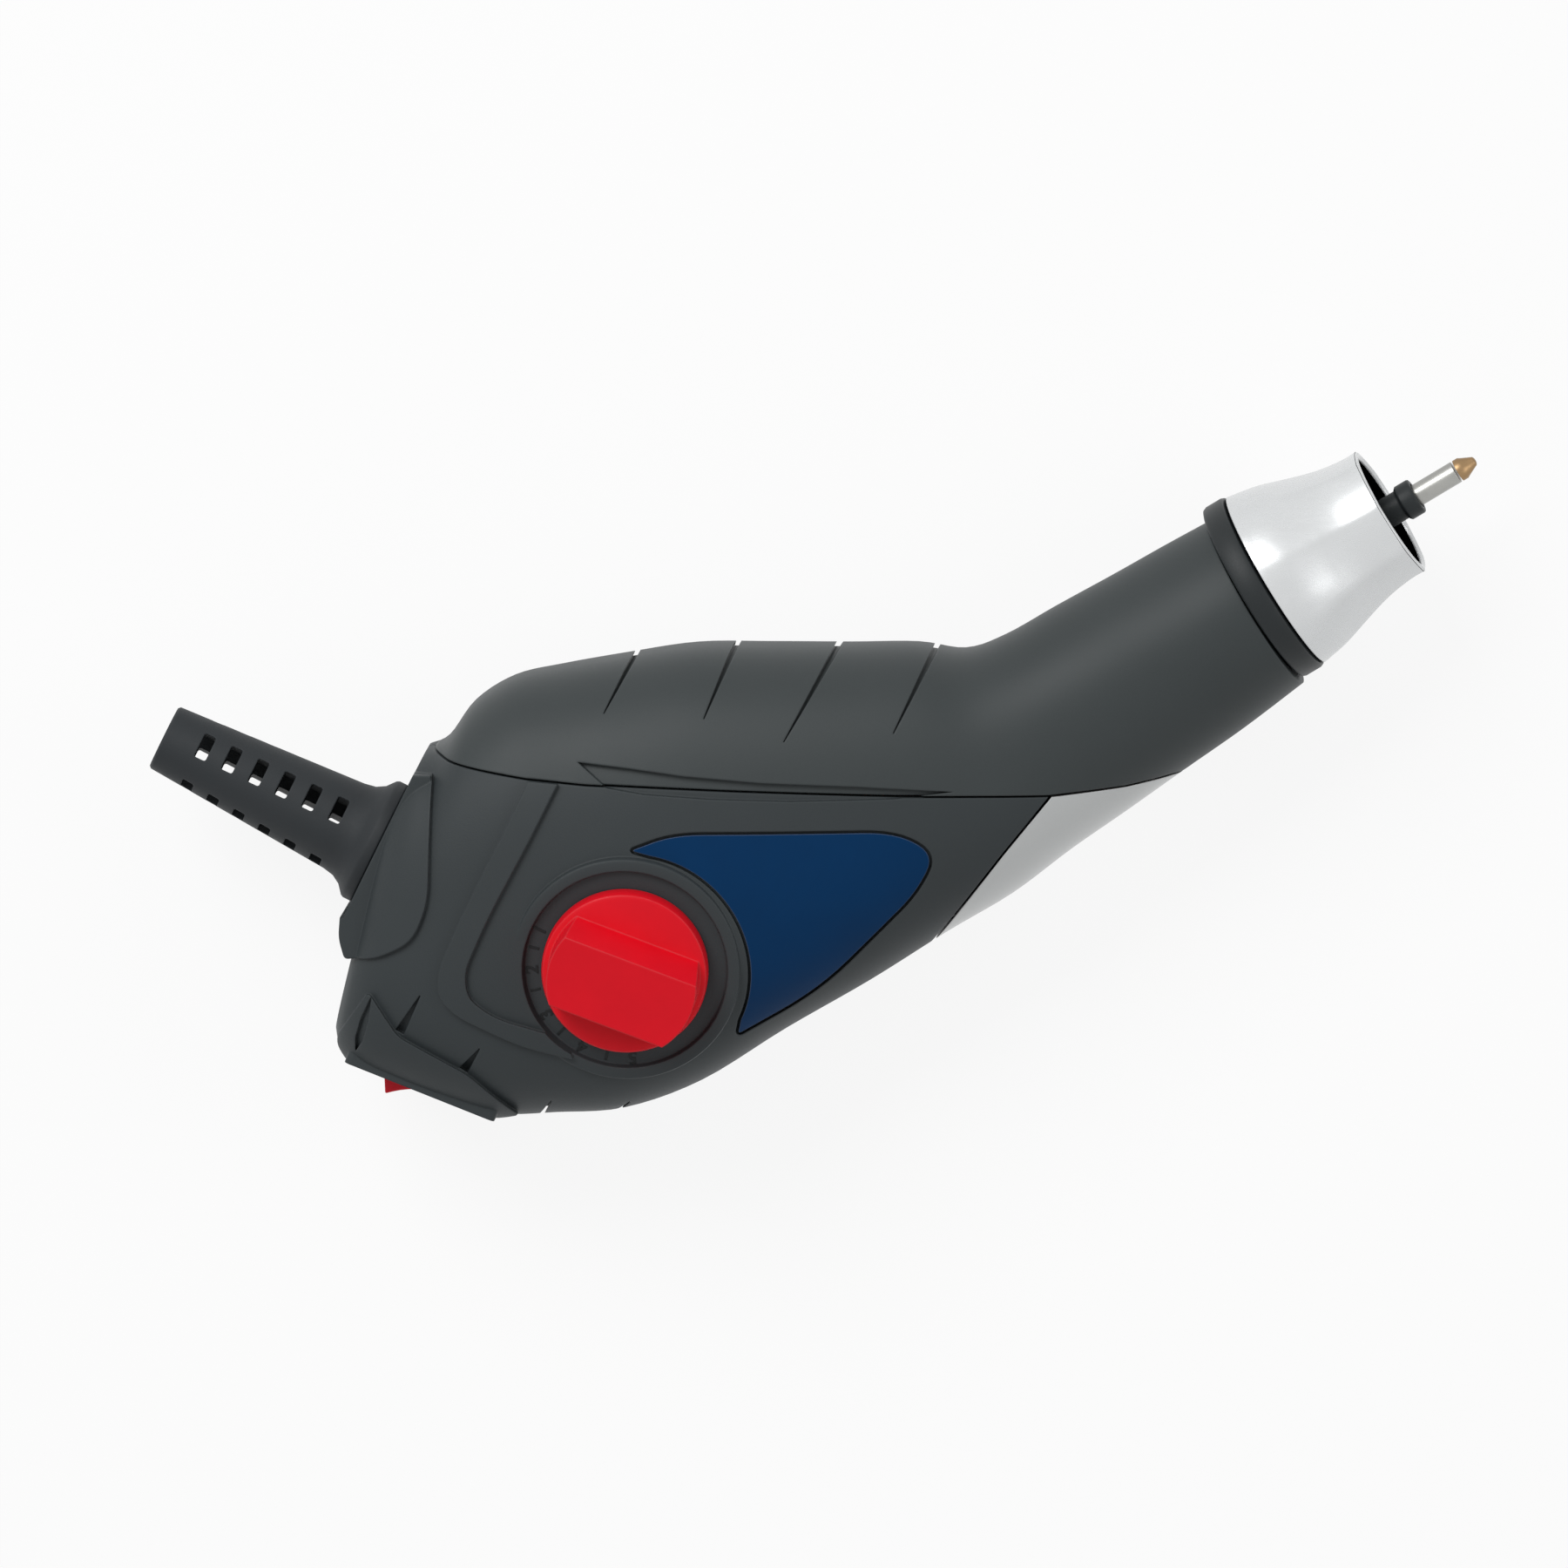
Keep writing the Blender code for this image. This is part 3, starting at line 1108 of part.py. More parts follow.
    def stop_slider(self):
        build = self.build
        cam = self.cam_in_nose_frame()
        contact = cam.x + CAM_RADIUS + SEAM + CAM_THICKNESS / 2 * math.sin(DIAL_LEAN)
        bm = bmesh.new()
        half = SLIDER_HALF_WIDTH
        depth = SLIDER_HALF_DEPTH
        end = SLIDER_REAR + SLIDER_LENGTH
        add_box(bm, (SLIDER_REAR, -half, -depth), (end, half, depth))
        obj = build.piece("stop_slider", mesh_of(bm, "stop_slider"), self.nose, self.natural)
        arm_low = cam.y - SLIDER_ARM_HALF_WIDTH
        arm_high = cam.y + SLIDER_ARM_HALF_WIDTH
        arm_top = cam.z + CAM_THICKNESS / 2
        bm = bmesh.new()
        foot_low = (contact, arm_low, cam.z - CAM_THICKNESS)
        add_box(bm, foot_low, (contact + SLIDER_ARM_LENGTH, arm_high, arm_top))
        foot = build.cutter("slider_foot", mesh_of(bm, "slider_foot"), self.nose)
        bm = bmesh.new()
        post_low = (contact + SOFT_EDGE, arm_low + SOFT_EDGE, depth - SOFT_EDGE)
        post_high = (SLIDER_REAR + SLIDER_ARM_LENGTH, half - SOFT_EDGE, arm_top - SOFT_EDGE)
        add_box(bm, post_low, post_high)
        post = build.cutter("slider_post", mesh_of(bm, "slider_post"), self.nose)
        bm = bmesh.new()
        tip_end = end + SLIDER_NOSE_LENGTH
        add_cylinder(bm, SLIDER_NOSE_RADIUS, end - SOFT_EDGE, tip_end, along_x(), SMALL_STEPS)
        tip = build.cutter("slider_tip", mesh_of(bm, "slider_tip"), self.nose)
        for form in (foot, post, tip):
            boolean(obj, form, "UNION")
        return obj

    def switch_body(self):
        build = self.build
        half_length = SWITCH_LENGTH / 2
        half_width = SWITCH_WIDTH / 2
        margin = BEZEL_MARGIN
        low = (-half_length, SOFT_EDGE / 2, -half_width)
        mesh = box_mesh("switch_body", low, (half_length, SWITCH_DEPTH - SEAM, half_width))
        obj = build.piece("switch_body", mesh, self.switch, self.black)
        rim = build.cutter(
            "switch_rim",
            box_mesh(
                "switch_rim",
                (-half_length - margin, 0.0, -half_width - margin),
                (half_length + margin, BEZEL_THICKNESS, half_width + margin),
            ),
            self.switch,
        )
        boolean(obj, rim, "UNION")
        wall = SWITCH_WALL
        inside = build.cutter(
            "switch_inside",
            box_mesh(
                "switch_inside",
                (-half_length + wall - SEAM, -OVERRUN, -half_width + wall),
                (half_length - wall + SEAM, SWITCH_DEPTH - 2 * wall, half_width - wall),
            ),
            self.switch,
        )
        boolean(obj, inside)
        mesh = self.pin_mesh("pin_hole", ROCKER_PIN_RADIUS + RUNNING_GAP, half_width + wall)
        pin = build.cutter("pin_hole", mesh, self.switch)
        pin.matrix_local = moved(y=ROCKER_PIVOT_DEPTH)
        boolean(obj, pin)
        reach = SWITCH_DEPTH
        for word, side in (("rear", -1), ("front", 1)):
            middle = side * half_length / 2
            low = (middle - TERMINAL_THICKNESS / 2, reach, -TERMINAL_WIDTH / 2)
            high = (middle + TERMINAL_THICKNESS / 2, reach + TERMINAL_LENGTH, TERMINAL_WIDTH / 2)
            name = f"switch_terminal_{word}"
            build.piece(name, box_mesh(name, low, high), self.switch, self.steel)
        return obj

    def pin_mesh(self, name, radius, reach):
        bm = bmesh.new()
        add_cylinder(bm, radius, -reach, reach, steps=SMALL_STEPS)
        return mesh_of(bm, name)

    def switch_rocker(self):
        """The rocker, with its origin on its pivot. Its rear end stands out at rest."""
        build = self.build
        half = ROCKER_HALF_LENGTH
        pivot = ROCKER_PIVOT_DEPTH + SOFT_EDGE
        outline = [
            (-half, -pivot - ROCKER_RISE),
            (-half / 3, -pivot - ROCKER_RISE / 6),
            (0.0, -pivot),
            (half / 3, -pivot - ROCKER_RISE / 6),
            (half, -pivot - ROCKER_RISE),
            (half * 1.11, -ROCKER_PIVOT_DEPTH + ROCKER_RISE),
            (half * 1.05, 0.0),
            (half / 2, ROCKER_DEPTH - ROCKER_PIVOT_DEPTH),
            (-half / 2, ROCKER_DEPTH - ROCKER_PIVOT_DEPTH),
            (-half * 1.05, 0.0),
            (-half * 1.11, -ROCKER_PIVOT_DEPTH + ROCKER_RISE),
        ]
        width = SWITCH_WIDTH / 2 - SWITCH_WALL - SEAM
        mesh = plate_mesh("switch_rocker", outline, -width, width)
        obj = build.piece("switch_rocker", mesh, self.switch, self.red)
        obj.matrix_local = moved(y=ROCKER_PIVOT_DEPTH) @ Matrix.Rotation(ROCKER_TILT, 4, "Z")
        bevel(obj, SOFT_EDGE / 2)
        mesh = self.pin_mesh("rocker_pin", ROCKER_PIN_RADIUS, SWITCH_WIDTH / 2)
        pin = build.cutter("rocker_pin", mesh, self.switch)
        pin.matrix_local = moved(y=ROCKER_PIVOT_DEPTH)
        boolean(obj, pin, "UNION")
        return obj

    def solenoid(self):
        build = self.build
        end = YOKE_START + YOKE_LENGTH
        laminated = build.material("laminated_iron", LAMINATED, 0.5, 0.8)
        half = YOKE_HALF_HEIGHT
        depth = YOKE_HALF_DEPTH
        mesh = box_mesh("yoke_stack", (YOKE_START, -half, -depth), (end, half, depth))
        yoke = build.piece("yoke_stack", mesh, self.nose, laminated)
        inner_start = YOKE_START + YOKE_END_THICKNESS
        inner_end = end - YOKE_END_THICKNESS
        window_half = half - YOKE_LIMB
        low = (inner_start, -window_half, -2 * depth)
        mesh = box_mesh("yoke_window", low, (inner_end, window_half, 2 * depth))
        boolean(yoke, build.cutter("yoke_window", mesh, self.nose))
        bm = bmesh.new()
        add_cylinder(bm, BOBBIN_BORE_RADIUS, YOKE_START - OVERRUN, inner_start + SOFT_EDGE, along_x())
        add_cylinder(bm, HOLDER_RADIUS, inner_end - SOFT_EDGE, end + OVERRUN, along_x())
        for x, y in YOKE_POST_SHARES:
            spot = moved(x * REACH, y * REACH)
            add_cylinder(bm, SMALL_SCREW_RADIUS + SEAM, -2 * depth, 2 * depth, spot, SMALL_STEPS)
        boolean(yoke, build.cutter("yoke_holes", mesh_of(bm, "yoke_holes"), self.nose))
        start = inner_start + SEAM
        stop = inner_end - SEAM
        tube = BOBBIN_BORE_RADIUS + BOBBIN_WALL
        profile = [
            (BOBBIN_BORE_RADIUS, stop),
            (BOBBIN_FLANGE_RADIUS, stop),
            (BOBBIN_FLANGE_RADIUS, stop - BOBBIN_FLANGE),
            (tube, stop - BOBBIN_FLANGE),
            (tube, start + BOBBIN_FLANGE),
            (BOBBIN_FLANGE_RADIUS, start + BOBBIN_FLANGE),
            (BOBBIN_FLANGE_RADIUS, start),
            (BOBBIN_BORE_RADIUS, start),
        ]
        turned(build, "coil_bobbin", profile, self.nose, along_x(), self.natural, ROUND_STEPS, True)
        copper = build.material("copper_winding", COPPER, 0.4, 0.9)
        high = stop - BOBBIN_FLANGE - SEAM
        low = start + BOBBIN_FLANGE + SEAM
        profile = [(tube + SEAM, high), (WINDING_RADIUS, high), (WINDING_RADIUS, low), (tube + SEAM, low)]
        turned(build, "coil_winding", profile, self.nose, along_x(), copper, ROUND_STEPS, True)
        for k, (x, y) in enumerate(YOKE_POST_SHARES):
            spot = moved(x * REACH, y * REACH)
            tail = -depth - SMALL_SCREW_BITE
            self.small_screw(f"yoke_screw_{k + 1}", self.nose, spot, depth + SEAM, tail)

    def plunger_rear(self):
        return YOKE_START - PLUNGER_SETBACK

    def plunger_parts(self):
        build = self.build
        rear = self.plunger_rear()
        front = rear + PLUNGER_LENGTH
        bore = ROD_RADIUS + SEAM
        nub = SLIDER_NOSE_RADIUS
        profile = [
            (0.0, front - PLUNGER_SOCKET),
            (bore, front - PLUNGER_SOCKET),
            (bore, front),
            (PLUNGER_RADIUS, front),
            (PLUNGER_RADIUS, rear),
            (nub, rear),
            (nub, rear - nub),
            (0.0, rear - nub),
        ]
        iron = build.material("plunger_iron", IRON, 0.35, 1.0)
        obj = turned(build, "plunger", profile, self.nose, along_x(), iron)
        rod_rear = front - PLUNGER_SOCKET + SEAM
        turned(
            build,
            "drive_rod",
            [(0.0, ROD_SEAT), (ROD_RADIUS, ROD_SEAT), (ROD_RADIUS, rod_rear), (0.0, rod_rear)],
            self.nose,
            along_x(),
            self.steel,
            SMALL_STEPS,
        )
        seat_high = SEAT_PLACE + SEAT_THICKNESS
        profile = [
            (ROD_RADIUS + SEAM, seat_high),
            (SEAT_RADIUS, seat_high),
            (SEAT_RADIUS, SEAT_PLACE),
            (ROD_RADIUS + SEAM, SEAT_PLACE),
        ]
        turned(build, "spring_seat", profile, self.nose, along_x(), self.steel, ROUND_STEPS, True)
        return obj

    def cap_base(self):
        return REACH + COLLAR_LENGTH + 2 * SEAM

    def cap_profile(self, inset, start_share, end_share):
        """Points down the cap's outer side, from the rim to the base, moved in by inset."""
        base = self.cap_base()
        points = []
        for along, fall in reversed(CAP_PROFILE_SHARES):
            if start_share <= along <= end_share:
                radius = CAP_BASE_RADIUS + (CAP_RIM_RADIUS - CAP_BASE_RADIUS) * fall
                points.append((radius - inset, base + CAP_LENGTH * along))
        return points

    def nose_parts(self):
        build = self.build
        base = self.cap_base()
        sleeve = BARREL_BORE_RADIUS - SEAM
        sleeve_bore = sleeve - CAP_SLEEVE_WALL
        rear = base - COLLAR_LENGTH - CAP_SLEEVE_LENGTH
        outside = self.cap_profile(0.0, 0.0, 1.0)
        inside = self.cap_profile(CAP_WALL, 0.2, 1.0)[::-1]
        tube = [(sleeve, base), (sleeve, rear), (sleeve_bore, rear), (sleeve_bore, base)]
        profile = outside + tube + inside
        cap = turned(build, "nose_cap", profile, self.nose, along_x(), self.silver, FINE_STEPS, True)
        smooth(cap)
        high = REACH + SEAM + COLLAR_LENGTH
        low = REACH + SEAM
        hole = BARREL_BORE_RADIUS
        profile = [
            (hole, high),
            (COLLAR_RADIUS - SOFT_EDGE, high),
            (COLLAR_RADIUS, high - SOFT_EDGE),
            (COLLAR_RADIUS, low + SOFT_EDGE),
            (COLLAR_RADIUS - SOFT_EDGE, low),
            (hole, low),
        ]
        turned(build, "nose_collar", profile, self.nose, along_x(), self.black, FINE_STEPS, True)
        bush_high = base - BUSH_SETBACK
        bush_low = bush_high - BUSH_LENGTH
        bush_bore = HOLDER_RADIUS + RUNNING_GAP
        profile = [
            (bush_bore, bush_high),
            (sleeve_bore - SEAM, bush_high),
            (sleeve_bore - SEAM, bush_low),
            (bush_bore, bush_low),
        ]
        turned(build, "front_bush", profile, self.nose, along_x(), self.black, ROUND_STEPS, True)
        return bush_low

    def stylus_parts(self):
        build = self.build
        neck_front = HOLDER_FRONT - HOLDER_HEAD_LENGTH
        neck_rear = neck_front - HOLDER_NECK_LENGTH
        socket_radius = STYLUS_RADIUS + SEAM
        rod_room = ROD_SEAT + SEAM
        bottom = HOLDER_FRONT - HOLDER_SOCKET
        profile = [
            (0.0, bottom),
            (socket_radius, bottom),
            (socket_radius, HOLDER_FRONT),
            (HOLDER_RADIUS - SOFT_EDGE / 2, HOLDER_FRONT),
            (HOLDER_RADIUS, HOLDER_FRONT - SOFT_EDGE / 2),
            (HOLDER_RADIUS, neck_front),
            (HOLDER_NECK_RADIUS, neck_front),
            (HOLDER_NECK_RADIUS, neck_rear),
            (HOLDER_RADIUS, neck_rear),
            (HOLDER_RADIUS, HOLDER_REAR),
            (ROD_RADIUS + SEAM, HOLDER_REAR),
            (ROD_RADIUS + SEAM, rod_room),
            (0.0, rod_room),
        ]
        holder = turned(build, "stylus_holder", profile, self.nose, along_x(), self.black)
        grub_place = HOLDER_FRONT - GRUB_SETBACK
        bm = bmesh.new()
        hole = GRUB_RADIUS + SEAM
        grub_axis = moved(x=grub_place) @ along_y()
        add_cylinder(bm, hole, STYLUS_RADIUS, 2 * HOLDER_RADIUS, grub_axis, SMALL_STEPS)
        boolean(holder, build.cutter("grub_hole", mesh_of(bm, "grub_hole"), self.nose))
        smooth(holder)
        bm = bmesh.new()
        low = STYLUS_RADIUS + SEAM
        add_cylinder(bm, GRUB_RADIUS, low, HOLDER_RADIUS + SOFT_EDGE, grub_axis, SMALL_STEPS)
        build.piece("holder_grub_screw", mesh_of(bm, "holder_grub_screw"), self.nose, self.steel)
        shank_front = HOLDER_FRONT + STYLUS_REACH
        shank_rear = bottom + SEAM
        radius = STYLUS_RADIUS
        shank = [
            (0.0, shank_front),
            (radius, shank_front),
            (radius, shank_rear + SOFT_EDGE),
            (radius - SOFT_EDGE / 2, shank_rear),
            (0.0, shank_rear),
        ]
        smooth(turned(build, "stylus_shank", shank, self.nose, along_x(), self.steel))
        tip_rear = shank_front + SEAM
        front = tip_rear + TIP_LENGTH
        tip = [
            (0.0, front),
            (TIP_ROUND_RADIUS / 2, front - TIP_ROUND_RADIUS / 5),
            (TIP_ROUND_RADIUS, front - TIP_ROUND_RADIUS / 2),
            (radius, front - TIP_LENGTH * 0.72),
            (radius, tip_rear),
            (0.0, tip_rear),
        ]
        hard = build.material("hard_tip", TIP_BROWN, 0.35, 0.6)
        smooth(turned(build, "stylus_tip", tip, self.nose, along_x(), hard))

    def spring(self, name, start, end, radius, turns):
        """A coil spring along the nose axis, as one unbroken wire with a closed turn at each end."""
        count = 12
        total = (turns + 2) * count
        wire = SPRING_WIRE / 2
        low = start + wire + SEAM
        high = end - wire - SEAM
        lift = SPRING_WIRE + SEAM
        points = []
        for k in range(total + 1):
            angle = math.tau * k / count
            turn = k / count
            if turn <= 1:
                x = low + lift * turn
            elif turn >= turns + 1:
                x = high - lift * (turns + 2 - turn)
            else:
                x = low + lift + (high - low - 2 * lift) * (turn - 1) / turns
            points.append((x, radius * math.cos(angle), radius * math.sin(angle)))
        mesh = baked_curve(wire_curve(name, points, wire, 1), name)
        return self.build.piece(name, mesh, self.nose, self.steel)

    def springs(self, bush_low):
        seat_high = SEAT_PLACE + SEAT_THICKNESS
        self.spring("return_spring", seat_high, bush_low, RETURN_SPRING_RADIUS, RETURN_SPRING_TURNS)
        slider_end = SLIDER_REAR + SLIDER_LENGTH
        rear = self.plunger_rear()
        self.spring("stroke_spring", slider_end, rear, STROKE_SPRING_RADIUS, STROKE_SPRING_TURNS)

    def lead(self, name, places, colour):
        mesh = baked_curve(wire_curve(name, smooth_run(places, 6), LEAD_RADIUS, 2), name)
        self.build.piece(name, mesh, self.build.root, self.build.material(name, colour, 0.5))

    def leads(self):
        """The leads inside the housing, as smooth runs through hand-chosen places."""
        cord = self.cord.matrix_local
        switch = self.switch.matrix_local
        nose = self.nose.matrix_local
        radius = LEAD_RADIUS
        half = SWITCH_LENGTH / 4
        tail = SWITCH_DEPTH + TERMINAL_LENGTH + SEAM + radius
        under = self.clamp_level() - radius - 2 * SEAM
        side = radius + 2 * SEAM
        rear = -BOOT_NECK_LENGTH - BOOT_HEEL_THICKNESS - 4 * SEAM
        past = -CLAMP_SETBACK - OVERRUN
        live = [
            cord @ Vector((rear, side, under)),
            cord @ Vector((past, side, under)),
            switch @ Vector((radius, tail + 0.75 * OVERRUN, under)),
            switch @ Vector((-half, tail, under)),
        ]
        self.lead("lead_live", live, LIVE_BROWN)
        beside = -SLIDER_HALF_WIDTH - CRADLE_WALL
        coil_end = YOKE_START + YOKE_END_THICKNESS
        lift = YOKE_HALF_DEPTH + radius + SEAM
        neutral = [
            cord @ Vector((rear, -side, under)),
            cord @ Vector((past, -side, under)),
            cord @ Vector((past - 2 * OVERRUN, -2 * side, under)),
            nose @ Vector((SLIDER_REAR - OVERRUN, beside, lift / 2)),
            nose @ Vector((YOKE_START - OVERRUN, beside, lift)),
            nose @ Vector((coil_end, beside, lift)),
        ]
        self.lead("lead_neutral", neutral, NEUTRAL_BLUE)
        slider_end = SLIDER_REAR + SLIDER_LENGTH
        switched = [
            switch @ Vector((half, tail, 0.0)),
            nose @ Vector((0.0, -radius, 0.0)),
            nose @ Vector((slider_end - OVERRUN, beside + SOFT_EDGE, SEAM)),
            nose @ Vector((slider_end + SOFT_EDGE, beside + SOFT_EDGE, lift / 2)),
            nose @ Vector((YOKE_START - OVERRUN, beside + 2 * side - SEAM, lift)),
            nose @ Vector((coil_end, beside + 2 * side - SEAM, lift)),
        ]
        self.lead("lead_switched", switched, DARK_RUBBER)

    def make(self):
        self.shell_tools()
        self.make_shell_trim()
        self.toe_grooves = self.groove_cutter("toe_grooves", TOE_GROOVE_SHARES)
        self.housing_near()
        self.housing_far()
        self.top_cover()
        self.accent_panel()
        self.label_panel()
        self.housing_screws()
        self.cord_boot()
        self.cord_clamp()
        self.stroke_dial()
        self.dial_cam()
        self.stop_slider()
        self.switch_body()
        self.switch_rocker()
        self.solenoid()
        self.plunger_parts()
        bush_low = self.nose_parts()
        self.stylus_parts()
        self.springs(bush_low)
        self.leads()
        self.stand_on_floor()

    def stand_on_floor(self):
        """Moves the whole pen, so that the middle of its box's lower face is the origin."""
        bpy.context.view_layer.update()
        graph = bpy.context.evaluated_depsgraph_get()
        corners = []
        for obj in self.build.pieces.objects:
            if obj.type == "MESH":
                done = obj.evaluated_get(graph)
                corners += [done.matrix_world @ vert.co for vert in done.data.vertices]
        low = Vector(min(corner[i] for corner in corners) for i in range(3))
        high = Vector(max(corner[i] for corner in corners) for i in range(3))
        middle = (low + high) / 2
        self.build.root.location = (-middle.x, -middle.y, -low.z)


def smooth_run(places, steps):
    """Points on a smooth curve through the places. It bulges no more than its shorter steps allow."""
    last = len(places) - 1
    ways = [(places[min(i + 1, last)] - places[max(i - 1, 0)]).normalized() for i in range(last + 1)]
    points = []
    for i in range(last):
        start, end = places[i], places[i + 1]
        length = (end - start).length
        for step in range(steps):
            t = step / steps
            rise = t * t * (3 - 2 * t)
            leaving = ways[i] * (length * t * (1 - t) * (1 - t))
            arriving = ways[i + 1] * (length * t * t * (t - 1))
            points.append(start.lerp(end, rise) + leaving + arriving)
    points.append(places[last])
    return points


def screw_profile(radius, head_radius, top, seat, tail):
    """A screw with its head from top down to seat, and its shank from there down to tail."""
    return [(0.0, top), (head_radius, top), (head_radius, seat), (radius, seat), (radius, tail), (0.0, tail)]


def main():
    Pen().make()


main()
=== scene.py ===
"""Dresses the packed engraving pen: finer shells, boot, dial, switch, nose, stylus, finishes and a stage.

Lengths are metres. Outlines are shares of the reach, the distance from the dial to the end of the barrel.
"""

import math

import bmesh
import bpy
from bpy.props import FloatProperty, FloatVectorProperty, IntProperty, PointerProperty
from mathutils import Matrix, Vector


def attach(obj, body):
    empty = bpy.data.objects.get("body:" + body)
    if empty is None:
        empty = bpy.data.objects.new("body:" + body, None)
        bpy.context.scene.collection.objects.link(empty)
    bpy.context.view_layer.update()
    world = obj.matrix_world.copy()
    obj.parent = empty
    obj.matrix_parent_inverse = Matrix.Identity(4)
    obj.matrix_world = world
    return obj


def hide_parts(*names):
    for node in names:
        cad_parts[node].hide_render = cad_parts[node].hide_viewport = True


bl_info = {
    "name": "Engraving pen",
    "version": (1, 0, 0),
    "blender": (4, 5, 0),
    "location": "View3D > Sidebar > Engraving pen",
    "description": "Makes the visible pieces, finishes and stage of an electric engraving pen",
    "category": "Object",
}

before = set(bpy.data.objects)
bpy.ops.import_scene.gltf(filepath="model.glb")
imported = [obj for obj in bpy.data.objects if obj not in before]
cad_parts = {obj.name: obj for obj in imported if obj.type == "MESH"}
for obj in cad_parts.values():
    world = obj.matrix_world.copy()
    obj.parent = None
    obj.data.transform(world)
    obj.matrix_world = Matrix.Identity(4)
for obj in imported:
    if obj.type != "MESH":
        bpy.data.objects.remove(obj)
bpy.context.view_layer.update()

# Where the pen's own axes lie
ROOT = Matrix.Translation((-0.0256443, -0.0256927, 0.0172))
NOSE_ANGLE = math.radians(31.0)
CORD_ANGLE = math.radians(153.5)
SWITCH_ANGLE = math.radians(-21.9)
DIAL_LEAN = math.radians(8.5)
REST_DEPTH = 0.0172
WALL = 0.0022
OVERRUN = 0.004

# Sizes that several pieces share
BOSS_RADIUS = 0.0042
SCREW_WAY_RADIUS = 0.00175
SCREW_HEAD_WAY_RADIUS = 0.0030
SCREW_HEAD_RADIUS = 0.0027
SCREW_HEAD_HEIGHT = 0.0018
SOCKET_HALF_HEIGHT = 0.0130
LAND_HALF_HEIGHT = 0.0108
TRIM_GROOVE_WIDTH = 0.0013
BOOT_BORE_RADIUS = 0.0036
BOOT_NECK_RADIUS = 0.0056
BOOT_HEEL_RADIUS = 0.0076
BOOT_FLARE_LENGTH = 0.0056
BOOT_PLAIN_END = 0.0049
SWITCH_PIVOT_DEPTH = 0.0040
COLLAR_RADIUS = 0.0133
COLLAR_BORE_RADIUS = 0.0104
HOLDER_FRONT = 0.1262

# A station holds the x and y of the body's top line, the x and y of its bottom line, its half width as a
# share of the full half width, and how square its section is.
STATIONS = (
    (-0.303, 0.276, -0.395, -0.080, 0.52, 3.2),
    (-0.292, 0.292, -0.388, -0.106, 0.66, 3.0),
    (-0.270, 0.304, -0.360, -0.130, 0.78, 2.9),
    (-0.240, 0.318, -0.305, -0.152, 0.86, 2.8),
    (-0.203, 0.367, -0.238, -0.178, 0.92, 2.7),
    (-0.150, 0.400, -0.170, -0.196, 0.965, 2.7),
    (-0.086, 0.415, -0.095, -0.194, 0.985, 2.7),
    (0.005, 0.431, 0.000, -0.187, 1.0, 2.7),
    (0.100, 0.445, 0.105, -0.149, 0.99, 2.7),
    (0.200, 0.446, 0.220, -0.078, 0.965, 2.6),
    (0.310, 0.446, 0.335, -0.012, 0.915, 2.5),
    (0.400, 0.447, 0.440, 0.054, 0.85, 2.4),
    (0.465, 0.439, 0.530, 0.107, 0.785, 2.3),
    (0.520, 0.458, 0.610, 0.167, 0.73, 2.2),
    (0.590, 0.498, 0.685, 0.219, 0.69, 2.1),
    (0.670, 0.542, 0.765, 0.276, 0.665, 2.1),
    (0.735, 0.579, 0.845, 0.332, 0.65, 2.0),
    (0.797, 0.613, 0.926, 0.394, 0.64, 2.0),
)
PARTING = (
    (-0.450, 0.330),
    (-0.270, 0.312),
    (-0.230, 0.303),
    (-0.180, 0.295),
    (-0.120, 0.286),
    (-0.040, 0.279),
    (0.145, 0.271),
    (0.380, 0.262),
    (0.586, 0.258),
    (0.689, 0.266),
    (0.750, 0.276),
    (0.900, 0.280),
)
PARTING_CORNER = 8
ACCENT_EDGE = ((0.520, 0.174), (0.432, 0.060), (0.380, -0.008))
SOCKET = (
    (-0.2835, 0.2832, 0.002),
    (-0.3795, 0.0902, 0.004),
    (-0.382, 0.060, 0.012),
    (-0.374, 0.031, 0.006),
    (-0.330, 0.035, 0.020),
    (-0.280, 0.060, 0.022),
    (-0.257, 0.112, 0.030),
    (-0.253, 0.283, 0.002),
)
HOOD = (
    (-0.340, -0.010, 0.010),
    (-0.394, -0.086, 0.020),
    (-0.378, -0.115, 0.006),
    (-0.175, -0.1965, 0.006),
    (-0.140, -0.188, 0.008),
    (-0.206, -0.125, 0.012),
    (-0.300, -0.072, 0.010),
)
LAND = ((-0.378, -0.115), (-0.175, -0.1965))
BAND = (
    (-0.108, 0.300, 0.004),
    (-0.155, 0.203, 0.030),
    (-0.211, 0.094, 0.040),
    (-0.242, 0.022, 0.018),
    (-0.242, -0.016, 0.016),
    (-0.218, -0.040, 0.018),
    (-0.130, -0.082, 0.034),
    (-0.060, -0.100, 0.004),
    (-0.070, -0.070, 0.004),
    (-0.166, -0.042, 0.028),
    (-0.202, -0.014, 0.016),
    (-0.206, 0.022, 0.018),
    (-0.174, 0.094, 0.040),
    (-0.115, 0.203, 0.030),
    (-0.066, 0.300, 0.004),
)
LABEL = (
    (0.0235, 0.190, 0.006),
    (0.080, 0.211, 0.040),
    (0.382, 0.212, 0.045),
    (0.434, 0.180, 0.028),
    (0.405, 0.125, 0.030),
    (0.270, -0.010, 0.060),
    (0.1614, -0.070, 0.006),
)
GRIP_GROOVES = (
    ((0.032, 0.460), (-0.016, 0.370)),
    ((0.163, 0.465), (0.121, 0.365)),
    ((0.305, 0.465), (0.230, 0.335)),
    ((0.438, 0.465), (0.378, 0.345)),
)
TOE_GROOVES = (
    ((-0.128, -0.215), (-0.095, -0.165)),
    ((-0.032, -0.210), (0.010, -0.170)),
)
